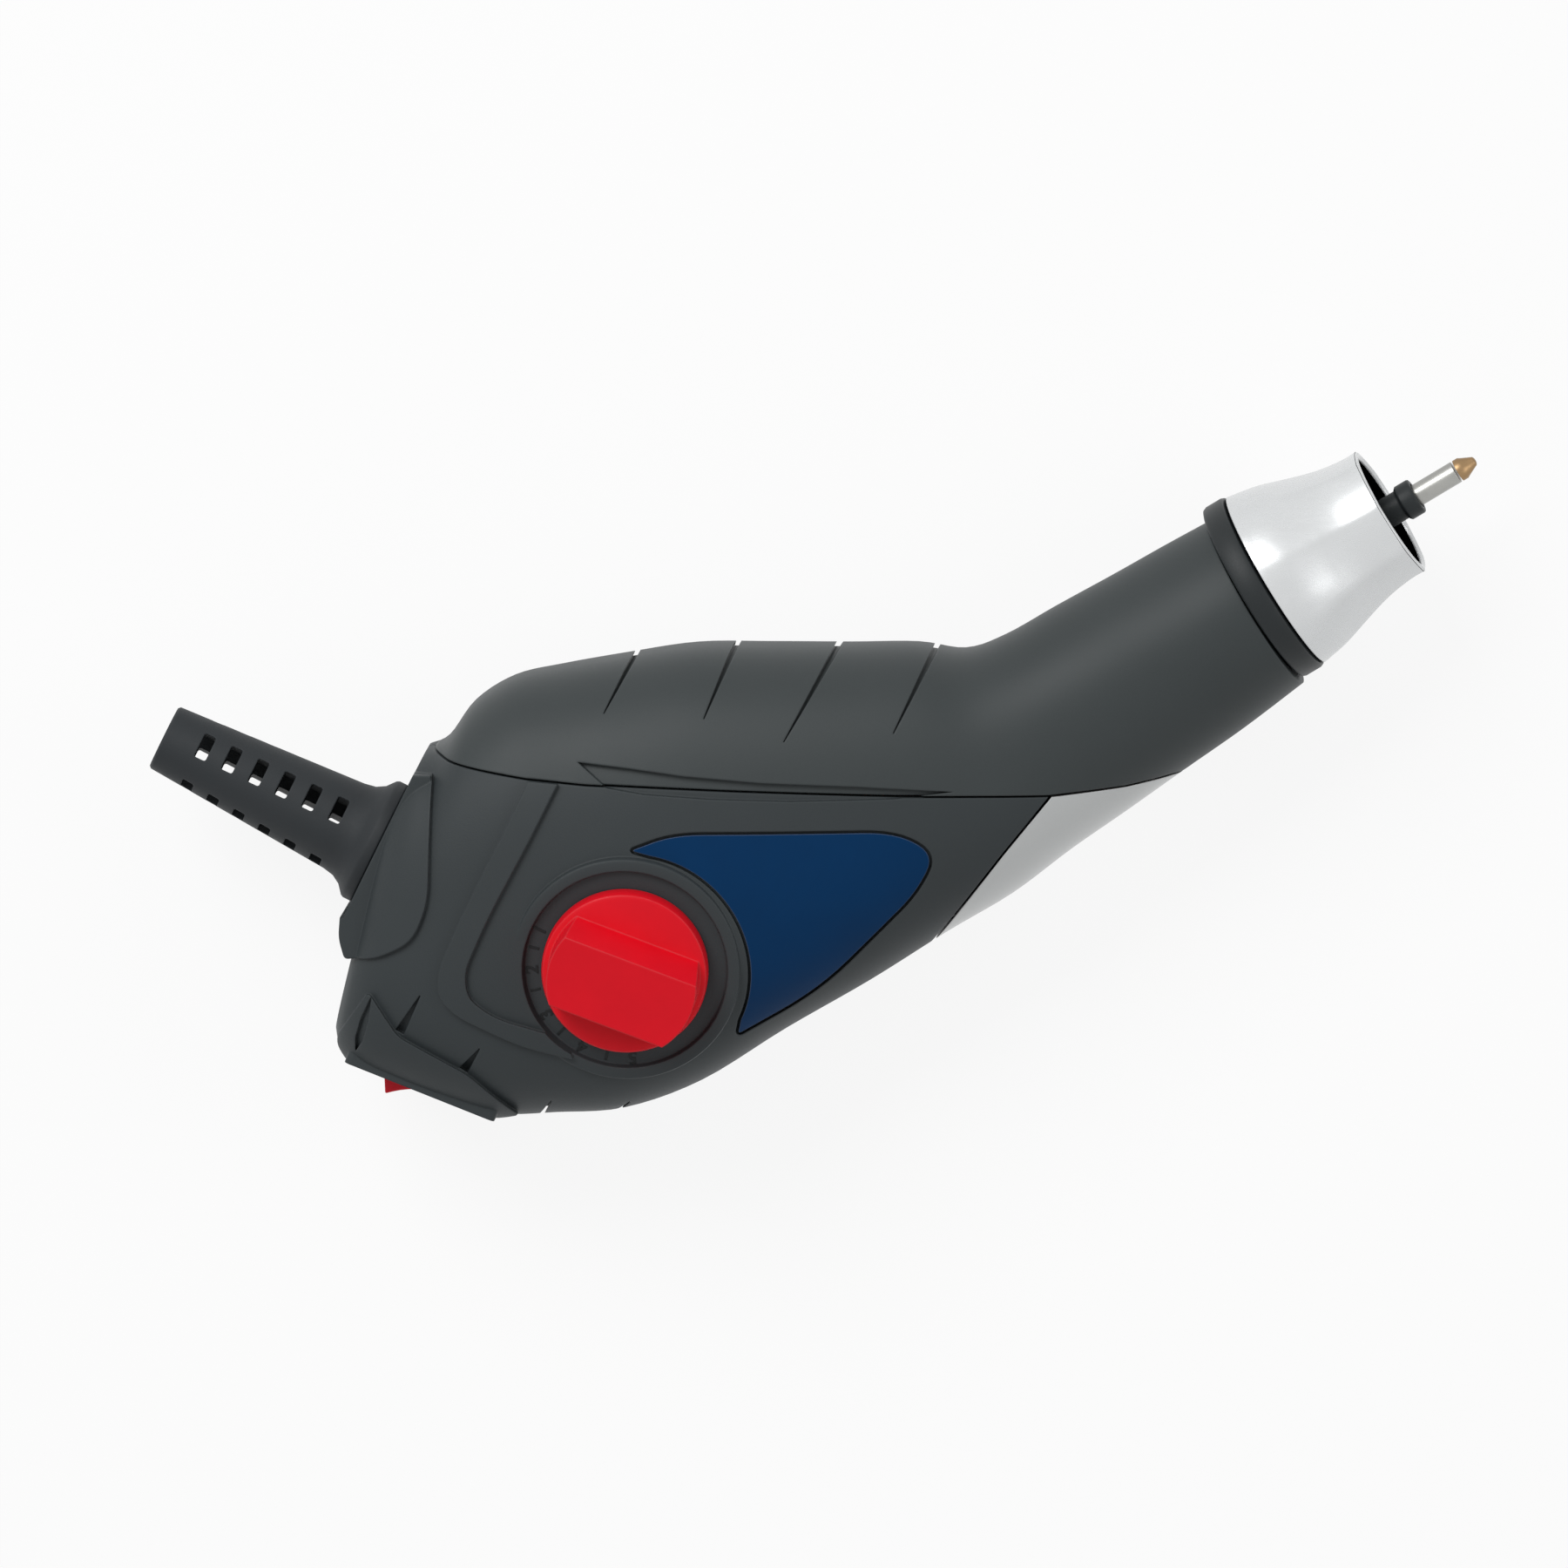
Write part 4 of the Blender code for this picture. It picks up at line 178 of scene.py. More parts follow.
HOOD_GROOVES = (
    ((-0.298, -0.066), (-0.268, -0.013)),
    ((-0.212, -0.119), (-0.188, -0.086)),
)
VALLEY = (
    (-0.050, 0.308),
    (0.018, 0.3005),
    (0.0965, 0.290),
    (0.200, 0.281),
    (0.330, 0.275),
    (0.460, 0.266),
    (0.380, 0.2575),
    (0.240, 0.2555),
    (0.130, 0.2590),
    (0.040, 0.2655),
    (-0.010, 0.2740),
)
HOOD_CREASE = ((-0.336, -0.018), (-0.346, -0.050), (-0.355, -0.078), (-0.361, -0.096))
BOSSES = ((-0.240, 0.252, 0.58), (-0.070, -0.135, 0.55), (0.272, 0.026, 0.50), (0.110, 0.222, 0.84))
BOOT_SEAT = (-0.334, 0.1705)
DIAL_FOOT = (0.013, 0.053)
CAP_PROFILE = ((0.0, 0.0), (0.21, 0.16), (0.43, 0.50), (0.58, 0.74), (0.72, 0.91), (0.88, 1.01), (1.0, 1.0))


def shade(red, green, blue):
    """A colour as a screen shows it, from 0 to 255, turned into the light that a material holds."""
    return tuple(
        value / 255 / 12.92 if value / 255 <= 0.04045 else ((value / 255 + 0.055) / 1.055) ** 2.4
        for value in (red, green, blue)
    )


def length(name, description, default):
    return FloatProperty(
        name=name, description=description, default=default, min=0.0, unit="LENGTH", precision=5
    )


def colour(name, description, default):
    return FloatVectorProperty(
        name=name, description=description, default=shade(*default), size=3, min=0.0, max=1.0, subtype="COLOR"
    )


class PenSizes(bpy.types.PropertyGroup):
    """Sizes of the pen's visible pieces."""

    reach: length("Reach", "From the dial to the end of the barrel", 0.100)
    half_width: length("Half width", "Half of the body's thickness at the dial", 0.0195)
    seam: length("Seam", "Gap between neighbouring mouldings", 0.0003)
    trim_rise: length("Trim rise", "How far the band and the hood stand out of the shell", 0.0008)
    groove_depth: length("Groove depth", "Depth of the grip grooves and of the label's recess", 0.0009)
    edge: length("Edge rounding", "Radius of a moulded edge", 0.00035)
    plate_radius: length("Plate radius", "Radius of the raised ring round the dial", 0.0156)
    plate_level: length("Plate level", "Height of that ring over the parting plane", 0.0186)
    well_radius: length("Well radius", "Radius of the sunk floor round the dial", 0.0140)
    well_depth: length("Well depth", "How deep that floor lies", 0.0009)
    dial_radius: length("Dial radius", "Radius of the stroke dial", 0.0113)
    digit_height: length("Digit height", "Height of the scale's numbers", 0.0025)
    digit_ring: length("Digit ring", "Radius on which the numbers stand", 0.01270)
    boot_length: length("Boot length", "Length of the cord boot outside the shell", 0.0329)
    section_points: IntProperty(
        name="Section points", description="Points round one section of the body", default=96, min=24, max=240
    )
    section_steps: IntProperty(
        name="Section steps", description="Sections between two stations", default=5, min=1, max=12
    )
    round_steps: IntProperty(
        name="Round steps", description="Steps round a turned piece", default=96, min=24, max=240
    )


class PenColours(bpy.types.PropertyGroup):
    """Colours of the pen's finishes."""

    shell: colour("Shell", "Lower shells", (50, 55, 57))
    cover: colour("Cover", "Grip cover", (56, 61, 62))
    boot: colour("Boot", "Rubber of the cord boot", (34, 38, 41))
    silver: colour("Silver", "Painted accent panel", (182, 184, 184))
    chrome: colour("Chrome", "Plated nose cap", (218, 220, 221))
    dial: colour("Dial", "Stroke dial", (232, 14, 34))
    rocker: colour("Rocker", "Switch rocker", (238, 26, 46))
    label: colour("Label", "Printed label film", (1, 50, 92))
    steel: colour("Steel", "Screws and stylus", (186, 186, 182))
    tip: colour("Tip", "Stylus point", (158, 130, 96))
    nylon: colour("Nylon", "Uncoloured inner mouldings", (214, 208, 190))
    copper: colour("Copper", "Coil winding", (176, 98, 52))
    floor: colour("Floor", "Floor under the pen", (252, 252, 252))


class Signal:
    """A shader value that can stand in a Python expression."""

    def __init__(self, look, socket):
        self.look = look
        self.socket = socket

    def maths(self, operation, first, second=0.0):
        return self.look.node("ShaderNodeMath", {"operation": operation}, {0: first, 1: second})

    def __add__(self, other):
        return self.maths("ADD", self, other)

    def __sub__(self, other):
        return self.maths("SUBTRACT", self, other)

    def __rsub__(self, other):
        return self.maths("SUBTRACT", other, self)

    def __mul__(self, other):
        return self.maths("MULTIPLY", self, other)

    def __pow__(self, other):
        return self.maths("POWER", self, other)

    __radd__ = __add__
    __rmul__ = __mul__

    def within(self, low=0.0, high=1.0):
        return self.maths("MINIMUM", self.maths("MAXIMUM", self, low), high)


class Look:
    """One material, and the nodes that make it."""

    def __init__(self, name, tree=None):
        self.material = None
        if tree is None:
            self.material = bpy.data.materials.new(name)
            self.material.use_nodes = True
            tree = self.material.node_tree
        self.tree = tree
        self.shader = tree.nodes.get("Principled BSDF")

    def node(self, kind, settings, sockets, output=0):
        made = self.tree.nodes.new(kind)
        for key, value in settings.items():
            if key == "stops":
                ramp = made.color_ramp
                while len(ramp.elements) < len(value):
                    ramp.elements.new(0.5)
                for element, (place, tone) in zip(ramp.elements, value):
                    element.position = place
                    element.color = (*tone, 1.0)
            else:
                setattr(made, key, value)
        for key, value in sockets.items():
            self.feed(made.inputs[key], value)
        return Signal(self, made.outputs[output])

    def feed(self, socket, value):
        if isinstance(value, Signal):
            self.tree.links.new(value.socket, socket)
        elif socket.type == "RGBA" and len(value) == 3:
            socket.default_value = (*value, 1.0)
        else:
            socket.default_value = value

    def places(self, stretch=(1.0, 1.0, 1.0), turn=0.0):
        spots = self.node("ShaderNodeTexCoord", {}, {}, "Object")
        sockets = {"Vector": spots, "Rotation": (0.0, 0.0, turn), "Scale": stretch}
        return self.node("ShaderNodeMapping", {}, sockets)

    def noise(self, grain, detail=2.0, rough=0.5, places=None):
        """Noise from 0 to 1, whose grains are about as wide as grain."""
        sockets = {"Vector": places or self.places(), "Scale": 1.0 / grain}
        sockets |= {"Detail": detail, "Roughness": rough}
        return self.node("ShaderNodeTexNoise", {}, sockets)

    def mix(self, factor, first, second):
        settings = {"data_type": "RGBA", "clamp_factor": True}
        return self.node("ShaderNodeMix", settings, {0: factor, 6: first, 7: second}, 2)

    def rounded(self, radius):
        """(the normal of the surface with its edges rounded, how close to an edge a point lies)"""
        soft = self.node("ShaderNodeBevel", {"samples": 6}, {"Radius": radius})
        flat = self.node("ShaderNodeNewGeometry", {}, {}, "Normal")
        alike = self.node("ShaderNodeVectorMath", {"operation": "DOT_PRODUCT"}, {0: soft, 1: flat}, "Value")
        return soft, ((1 - alike) * 7.0).within()

    def bump(self, height, distance, strength, normal=None):
        sockets = {"Height": height, "Distance": distance, "Strength": strength}
        if normal is not None:
            sockets["Normal"] = normal
        return self.node("ShaderNodeBump", {}, sockets)

    def finish(self, **sockets):
        for key, value in sockets.items():
            self.feed(self.shader.inputs[key.replace("_", " ")], value)
        return self.material


def lighter(tone, factor):
    return tuple(min(1.0, value * factor) for value in tone)


def moulded(name, tone, rough=0.5, grain=0.00022, depth=0.00003, wear=0.25, soft=None, specular=0.25):
    """Moulded plastic: a fine spark-eroded grain, faint mottling, and edges rubbed paler and smoother."""
    look = Look(name)
    fine = look.noise(grain, 3.0, 0.6)
    broad = look.noise(0.012, 3.0, 0.55)
    scuff = look.noise(0.0014, 4.0, 0.7, look.places((1.0, 0.35, 1.0), NOSE_ANGLE))
    normal, edge = look.rounded(soft or bpy.context.scene.pen_sizes.edge)
    body = look.mix(broad, lighter(tone, 0.90), lighter(tone, 1.10))
    body = look.mix((fine - 0.5) * 0.5 + 0.25, body, lighter(tone, 1.35))
    body = look.mix(edge * (0.4 + scuff) * wear, body, lighter(tone, 2.1))
    gloss = rough + (fine - 0.5) * 0.16 + (broad - 0.5) * 0.10 - edge * 0.08
    return look.finish(
        Base_Color=body,
        Roughness=gloss.within(0.05, 1.0),
        Normal=look.bump(fine, depth, 0.55, normal),
        Specular_IOR_Level=specular,
    )


def glossy_plastic(name, tone, rough=0.3, wear=0.3):
    """Satin coloured plastic with slight flow marks, faint dust and rubbed edges."""
    look = Look(name)
    fine = look.noise(0.0002, 2.0, 0.6)
    flow = look.noise(0.003, 3.0, 0.5, look.places((0.4, 1.0, 1.0), math.radians(-25.0)))
    broad = look.noise(0.006, 3.0, 0.6)
    normal, edge = look.rounded(bpy.context.scene.pen_sizes.edge)
    body = look.mix(broad, lighter(tone, 0.90), lighter(tone, 1.06))
    body = look.mix(edge * wear * (0.5 + flow), body, tuple(0.75 * value + 0.16 for value in tone))
    gloss = rough + (flow - 0.5) * 0.14 + (fine - 0.5) * 0.08
    return look.finish(
        Base_Color=body,
        Roughness=gloss.within(0.05, 1.0),
        Normal=look.bump(fine + flow * 2.0, 0.00002, 0.35, normal),
        Specular_IOR_Level=0.22,
    )


def rubber(name, tone):
    look = Look(name)
    fine = look.noise(0.00016, 3.0, 0.65)
    dust = look.noise(0.0025, 4.0, 0.65)
    normal, edge = look.rounded(0.0003)
    body = look.mix(dust, lighter(tone, 0.85), lighter(tone, 1.25))
    body = look.mix(edge * 0.35, body, lighter(tone, 2.2))
    return look.finish(
        Base_Color=body,
        Roughness=(0.62 + (dust - 0.5) * 0.2).within(),
        Normal=look.bump(fine, 0.00003, 0.6, normal),
        Specular_IOR_Level=0.35,
    )


def metal_paint(name, tone):
    """Silver paint: flakes of several tones under a smooth coat."""
    look = Look(name)
    flakes = look.node(
        "ShaderNodeTexVoronoi", {"feature": "F1"}, {"Vector": look.places(), "Scale": 7000.0}, "Color"
    )
    glint = look.node("ShaderNodeSeparateColor", {}, {"Color": flakes}, 0)
    broad = look.noise(0.009, 3.0, 0.5)
    normal, edge = look.rounded(0.0003)
    body = look.mix(glint, lighter(tone, 0.98), lighter(tone, 1.02))
    body = look.mix(broad * 0.4, body, lighter(tone, 0.94))
    body = look.mix(edge * 0.35, body, lighter(tone, 0.62))
    return look.finish(
        Base_Color=body,
        Metallic=0.55,
        Roughness=(0.36 + (glint - 0.5) * 0.06 + (broad - 0.5) * 0.06).within(),
        Normal=look.bump(glint, 0.000004, 0.2, normal),
        Coat_Weight=0.25,
        Coat_Roughness=0.18,
    )


def plated(name, tone, rough=0.27, soft=0.0003):
    """Bright plating: nearly smooth, with hazy handling marks and fine rubbing."""
    look = Look(name)
    haze = look.noise(0.005, 4.0, 0.6)
    rubs = look.noise(0.0005, 3.0, 0.7, look.places((0.12, 1.0, 1.0), -NOSE_ANGLE))
    normal, edge = look.rounded(soft)
    body = look.mix(haze, lighter(tone, 0.93), lighter(tone, 1.02))
    body = look.mix(edge * 0.3, body, lighter(tone, 0.75))
    return look.finish(
        Base_Color=body,
        Metallic=0.6,
        Roughness=(rough + (haze - 0.5) * 0.10 + (rubs - 0.5) * 0.10).within(0.04, 1.0),
        Normal=look.bump(rubs, 0.000003, 0.08, normal),
    )


def turned_steel(name, tone, rough=0.3, lay=0.00018):
    """Steel with turning marks round the nose axis."""
    look = Look(name)
    marks = look.noise(lay, 2.0, 0.6, look.places((1.0, 0.06, 0.06), -NOSE_ANGLE))
    stain = look.noise(0.002, 4.0, 0.6)
    normal, edge = look.rounded(0.00015)
    body = look.mix(stain, lighter(tone, 0.82), lighter(tone, 1.05))
    body = look.mix(edge * 0.4, body, lighter(tone, 1.3))
    return look.finish(
        Base_Color=body,
        Metallic=1.0,
        Roughness=(rough + (marks - 0.5) * 0.2 + (stain - 0.5) * 0.1).within(0.05, 1.0),
        Normal=look.bump(marks, 0.00001, 0.4, normal),
    )


def printed_film(name, tone):
    """Printed film: even ink with faint screen dots under a satin coat, paler where its rim is rubbed."""
    look = Look(name)
    sockets = {"Vector": look.places(), "Scale": 4200.0, "Randomness": 0.15}
    dots = look.node("ShaderNodeTexVoronoi", {"feature": "F1"}, sockets)
    cloud = look.noise(0.010, 3.0, 0.5)
    ripple = look.noise(0.0022, 2.0, 0.5)
    normal, edge = look.rounded(0.0002)
    body = look.mix(cloud, lighter(tone, 0.90), lighter(tone, 1.12))
    body = look.mix(dots * 0.18, body, lighter(tone, 0.7))
    body = look.mix(edge * 0.5, body, tuple(0.5 * value + 0.20 for value in tone))
    return look.finish(
        Base_Color=body,
        Roughness=(0.40 + (ripple - 0.5) * 0.12).within(),
        Normal=look.bump(ripple, 0.00003, 0.15, normal),
        Specular_IOR_Level=0.1,
    )


def wound_copper(name, tone):
    """Enamelled wire in close turns round the nose axis."""
    look = Look(name)
    turns = look.node(
        "ShaderNodeTexWave",
        {"wave_type": "BANDS", "bands_direction": "X"},
        {"Vector": look.places((1.0, 1.0, 1.0), -NOSE_ANGLE), "Scale": 900.0, "Distortion": 0.6},
    )
    stain = look.noise(0.003, 3.0, 0.5)
    body = look.mix(turns, lighter(tone, 0.55), look.mix(stain, tone, lighter(tone, 1.2)))
    return look.finish(
        Base_Color=body,
        Metallic=0.8,
        Roughness=(0.35 + stain * 0.15).within(),
        Normal=look.bump(turns, 0.0002, 0.8),
    )


def stacked_sheet(name, tone):
    """Electrical sheet, stacked flat."""
    look = Look(name)
    settings = {"wave_type": "BANDS", "bands_direction": "Z"}
    sheets = look.node("ShaderNodeTexWave", settings, {"Vector": look.places(), "Scale": 320.0})
    rust = look.noise(0.002, 4.0, 0.6)
    body = look.mix(sheets, lighter(tone, 0.5), tone)
    body = look.mix(rust * 0.3, body, (0.10, 0.05, 0.03))
    return look.finish(
        Base_Color=body,
        Metallic=0.8,
        Roughness=(0.45 + rust * 0.2).within(),
        Normal=look.bump(sheets, 0.0001, 0.6),
    )


LOOKS = {}


def look_for(name):
    """The material of that name, made on first use."""
    if name not in LOOKS:
        tones = bpy.context.scene.pen_colours
        makers = {
            "shell": lambda: moulded("shell_plastic", tones.shell, 0.52),
            "cover": lambda: moulded("cover_plastic", tones.cover, 0.50),
            "dark": lambda: moulded("dark_plastic", lighter(tones.shell, 0.55), 0.45, wear=0.35),
            "boot": lambda: rubber("boot_rubber", tones.boot),
            "silver": lambda: metal_paint("silver_paint", tones.silver),
            "chrome": lambda: plated("nose_plating", tones.chrome),
            # The cap's inside and its sleeve are near black with no specular: painted shade for the dark
            # hollow of the cap's mouth.
            "mouth": lambda: moulded(
                "mouth_painted_shade", shade(5, 6, 6), 0.8, depth=0.000003, wear=0.0, specular=0.0
            ),
            "dial": lambda: glossy_plastic("dial_plastic", tones.dial, 0.42),
            "rocker": lambda: glossy_plastic("rocker_plastic", tones.rocker, 0.38),
            "label": lambda: printed_film("label_film", tones.label),
            # The scale's numbers and ticks are near black: painted shade standing in for the shadow round
            # moulded marks.
            "digits": lambda: moulded("scale_marks_painted_shade", lighter(tones.shell, 0.25), 0.5, wear=0.0, soft=0.0001),
            "steel": lambda: turned_steel("turned_steel", tones.steel),
            "stylus": lambda: turned_steel("stylus_steel", lighter(tones.steel, 0.8), 0.34),
            "tip": lambda: turned_steel("brazed_tip", tones.tip, 0.38, 0.0004),
            "nylon": lambda: moulded("plain_nylon", tones.nylon, 0.45),
            "copper": lambda: wound_copper("wound_copper", tones.copper),
            "sheet": lambda: stacked_sheet("stacked_sheet", shade(112, 112, 116)),
            "live": lambda: rubber("live_lead", shade(96, 60, 38)),
            "neutral": lambda: rubber("neutral_lead", shade(36, 78, 150)),
            "switched": lambda: rubber("switched_lead", shade(38, 42, 45)),
        }
        LOOKS[name] = makers[name]()
    return LOOKS[name]


# Mesh tools


def sizes():
    return bpy.context.scene.pen_sizes


def place(x, y, z=0.0):
    return Vector((x * sizes().reach, y * sizes().reach, z))


def turn(angle, axis="Z"):
    return Matrix.Rotation(angle, 4, axis)


def nose_frame():
    return ROOT @ turn(NOSE_ANGLE)


def along_nose():
    """Turns a piece that was made upright to lie along the nose axis."""
    return nose_frame() @ turn(math.radians(90.0), "Y")


def dial_frame():
    return ROOT @ Matrix.Translation(place(*DIAL_FOOT)) @ turn(DIAL_LEAN, "X")


def cord_frame():
    return ROOT @ Matrix.Translation(place(*BOOT_SEAT)) @ turn(CORD_ANGLE)


def switch_frame():
    middle = place(*LAND[0]).lerp(place(*LAND[1]), 0.5)
    return ROOT @ Matrix.Translation(middle) @ turn(SWITCH_ANGLE)


def pivot_frame():
    return switch_frame() @ Matrix.Translation((0.0, SWITCH_PIVOT_DEPTH, 0.0))


def verts_in(geometry):
    return [part for part in geometry if isinstance(part, bmesh.types.BMVert)]


def mesh_of(bm, name, matrix=Matrix.Identity(4)):
    bmesh.ops.transform(bm, matrix=matrix, verts=bm.verts)
    bmesh.ops.recalc_face_normals(bm, faces=bm.faces)
    mesh = bpy.data.meshes.new(name)
    bm.to_mesh(mesh)
    bm.free()
    return mesh


def joined(name, forms, matrix=Matrix.Identity(4)):
    """One mesh of forms that stand clear of one another."""
    bm = bmesh.new()
    for form in forms:
        bm.from_mesh(form)
        bpy.data.meshes.remove(form)
    return mesh_of(bm, name, matrix)


def plate(outline, low, high):
    """A flat outline, as thick as the step from low to high."""
    bm = bmesh.new()
    corners = [bm.verts.new((x, y, low)) for x, y in outline]
    edges = [bm.edges.new(pair) for pair in zip(corners, corners[1:] + corners[:1])]
    face = bmesh.ops.edgeloop_fill(bm, edges=edges)["faces"]
    lifted = bmesh.ops.extrude_face_region(bm, geom=face)["geom"]
    bmesh.ops.translate(bm, vec=(0.0, 0.0, high - low), verts=verts_in(lifted))
    return bm


def spun(profile, closed=False, steps=None):
    """A turned form. The profile holds (radius, height) pairs."""
    bm = bmesh.new()
    points = [bm.verts.new((radius, 0.0, height)) for radius, height in profile]
    edges = [bm.edges.new(pair) for pair in zip(points, points[1:])]
    if closed:
        edges.append(bm.edges.new((points[-1], points[0])))
    bmesh.ops.spin(
        bm,
        geom=points + edges,
        cent=(0.0, 0.0, 0.0),
        axis=(0.0, 0.0, 1.0),
        angle=math.tau,
        steps=steps or sizes().round_steps,
        use_merge=True,
    )
    bmesh.ops.remove_doubles(bm, verts=bm.verts, dist=0.000001)
    return bm


def rod(radius, low, high, steps=48):
    return spun([(0.0, low), (radius, low), (radius, high), (0.0, high)], steps=steps)


def block(low, high):
    bm = bmesh.new()
    middle = [(a + b) / 2 for a, b in zip(low, high)]
    size = [b - a for a, b in zip(low, high)]
    bmesh.ops.create_cube(bm, size=1.0, matrix=Matrix.Translation(middle) @ Matrix.Diagonal((*size, 1.0)))
    return bm


def eased(bm, width, segments=2, angle=30.0):
    """Rounds the edges that are sharper than the angle."""
    sharp = [e for e in bm.edges if e.is_manifold and e.calc_face_angle(0.0) > math.radians(angle)]
    bmesh.ops.bevel(
        bm,
        geom=sharp,
        offset=width,
        offset_type="OFFSET",
        segments=segments,
        profile=0.5,
        affect="EDGES",
        clamp_overlap=True,
        material=-1,
    )
    return bm


def loft(rings):
    """A closed skin through rings that all have one count of points."""
    bm = bmesh.new()
    order = bm.verts.layers.int.new("order")
    first = bmesh.ops.create_circle(bm, cap_ends=True, radius=1.0, segments=len(rings[0]))["verts"]
    for k, vert in enumerate(first):
        vert[order] = k
        vert.co = rings[0][k]
    cap = bm.faces[:] + bm.edges[:]
    for ring in rings[1:]:
        cap = bmesh.ops.extrude_face_region(bm, geom=cap)["geom"]
        for vert in verts_in(cap):
            vert.co = ring[vert[order]]
    return bm


def carved(name, mesh, steps):
    """The mesh after a run of steps, each a tool's mesh and what it does."""
    work = bpy.data.objects.new(name, mesh)
    bpy.context.scene.collection.objects.link(work)
    tools = []
    for tool, operation in steps:
        other = bpy.data.objects.new(name + "_tool", tool)
        bpy.context.scene.collection.objects.link(other)
        tools.append(other)
        modifier = work.modifiers.new("step", "BOOLEAN")
        modifier.operation = operation
        modifier.object = other
    graph = bpy.context.evaluated_depsgraph_get()
    result = bpy.data.meshes.new_from_object(work.evaluated_get(graph))
    for obj in [work] + tools:
        bpy.data.objects.remove(obj, do_unlink=True)
    result.name = name
    return result


def cut(name, mesh, *tools):
    return carved(name, mesh, [(tool, "DIFFERENCE") for tool in tools])


def common(name, mesh, tool):
    return carved(name, mesh, [(tool, "INTERSECT")])


def piece(name, mesh, look, *nodes, body="root", smooth_to=32.0, inner=None):
    """Puts a finished mesh in the scene, on its body, in place of its CAD nodes."""
    if inner:
        mesh.materials.append(look_for(look))
        mesh.materials.append(look_for(inner))
    else:
        mesh.materials.clear()
        mesh.materials.append(look_for(look))
    mesh.shade_smooth()
    mesh.set_sharp_from_angle(angle=math.radians(smooth_to))
    obj = bpy.data.objects.new(name, mesh)
    bpy.context.scene.collection.objects.link(obj)
    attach(obj, body)
    if nodes:
        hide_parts(*nodes)
    return obj


# The body's form


def blend(before, start, end, after, share):
    """The value at a share of the way from start to end on a smooth curve through all four."""
    square, cube = share * share, share * share * share
    return 0.5 * (
        2 * start
        + (end - before) * share
        + (2 * before - 5 * start + 4 * end - after) * square
        + (3 * start - before - 3 * end + after) * cube
    )


def stations(steps):
    last = len(STATIONS) - 1
    found = []
    for i in range(last):
        around = [STATIONS[max(0, i - 1)], STATIONS[i], STATIONS[i + 1], STATIONS[min(last, i + 2)]]
        for step in range(steps):
            found.append(tuple(blend(*values, step / steps) for values in zip(*around)))
    found.append(STATIONS[last])
    return found


def section(station, growth, setback, count):
    """One ring of the body. Growth moves it out of its own surface, and setback moves it along the body."""
    top = place(station[0], station[1])
    bottom = place(station[2], station[3])
    up = (top - bottom).normalized()
    forward = Vector((up.y, -up.x, 0.0))
    middle = (top + bottom) / 2 + forward * setback
    half_height = (top - bottom).length / 2 + growth
    half_width = station[4] * sizes().half_width + growth
    power = 2.0 / station[5]
    ring = []
    for k in range(count):
        c, s = math.cos(math.tau * k / count), math.sin(math.tau * k / count)
        rise = half_height * math.copysign(abs(c) ** power, c)
        side = half_width * math.copysign(abs(s) ** power, s)
        ring.append(middle + up * rise + Vector((0.0, 0.0, side)))
    return ring


def body_form(name, growth=0.0, coarse=False, past_barrel=0.0):
    """The lofted body, grown out of its surface or, with a negative growth, into it."""
    size = sizes()
    count, steps = (48, 2) if coarse else (size.section_points, size.section_steps)
    rows = stations(steps)
    rings = []
    for i, station in enumerate(rows):
        setback = 0.0
        if i == 0:
            setback = -growth
        if i == len(rows) - 1:
            setback = growth + past_barrel
        rings.append(section(station, growth, setback, count))
    return mesh_of(loft(rings), name, ROOT)


def outline(shares, drop=0.0):
    reach = sizes().reach
    return [(x * reach, y * reach - drop) for x, y in shares]


def bent(shares, steps=7):
    """An outline whose corners are rounded off over each corner's own length."""
    reach = sizes().reach
    corners = [Vector(share[:2]) * reach for share in shares]
    found = []
    for i, corner in enumerate(corners):
        before, after = corners[i - 1] - corner, corners[(i + 1) % len(corners)] - corner
        run = shares[i][2] * reach
        if not run:
            found.append(tuple(corner))
            continue
        start = corner + before.normalized() * min(run, before.length * 0.49)
        end = corner + after.normalized() * min(run, after.length * 0.49)
        for step in range(steps):
            share = step / (steps - 1)
            found.append(tuple(start.lerp(corner, share).lerp(corner.lerp(end, share), share)))
    return found


def prism(name, points, low, high):
    return mesh_of(plate(points, low, high), name, ROOT)


def deep():
    return 2 * sizes().half_width


def rest_cut():
    """All that lies under the flat that the pen rests on."""
    return mesh_of(block((-0.3, -0.3, -0.1), (0.3, 0.3, -REST_DEPTH)), "under_rest", ROOT)


def hollow(name):
    """The room inside the shells. It keeps a whole wall over the flat that the pen lies on."""
    room = body_form(name, -WALL, True, WALL + OVERRUN)
    floor_wall = block((-0.3, -0.3, -0.1), (0.3, 0.3, WALL - REST_DEPTH))
    return cut(name, room, mesh_of(floor_wall, "floor_wall", ROOT))


def raised(name, shares):
    """A trim form that stands out of the body's surface."""
    region = prism(name, bent(shares), -deep(), deep())
    return common(name, region, body_form("raised_form", sizes().trim_rise))


def sunk(name, points, depth):
    """All that lies inside an outline and over a depth, on the dial's side."""
    return cut(name, prism(name, points, WALL, deep()), body_form("sunk_floor", -depth))


def sliver(start, end, width, overrun):
    """A narrow outline that tapers from start, where it is as wide as width, to end."""
    a, b = Vector(start), Vector(end)
    side = Vector((a.y - b.y, b.x - a.x)).normalized() * (width / 2)
    outer = a + (a - b).normalized() * overrun
    return [tuple(outer + side), tuple(outer - side), tuple(b - side * 0.12), tuple(b + side * 0.12)]


def grooves(name, lines, width, depth, overrun=OVERRUN):
    """Slivers through the body, less all that lies deeper than depth."""
    strips = []
    for start, end in lines:
        strip = sliver(place(*start).xy, place(*end).xy, width, overrun)
        strips.append(mesh_of(plate(strip, -deep(), deep()), name))
    return cut(name, joined(name, strips, ROOT), body_form("groove_floor", -depth))


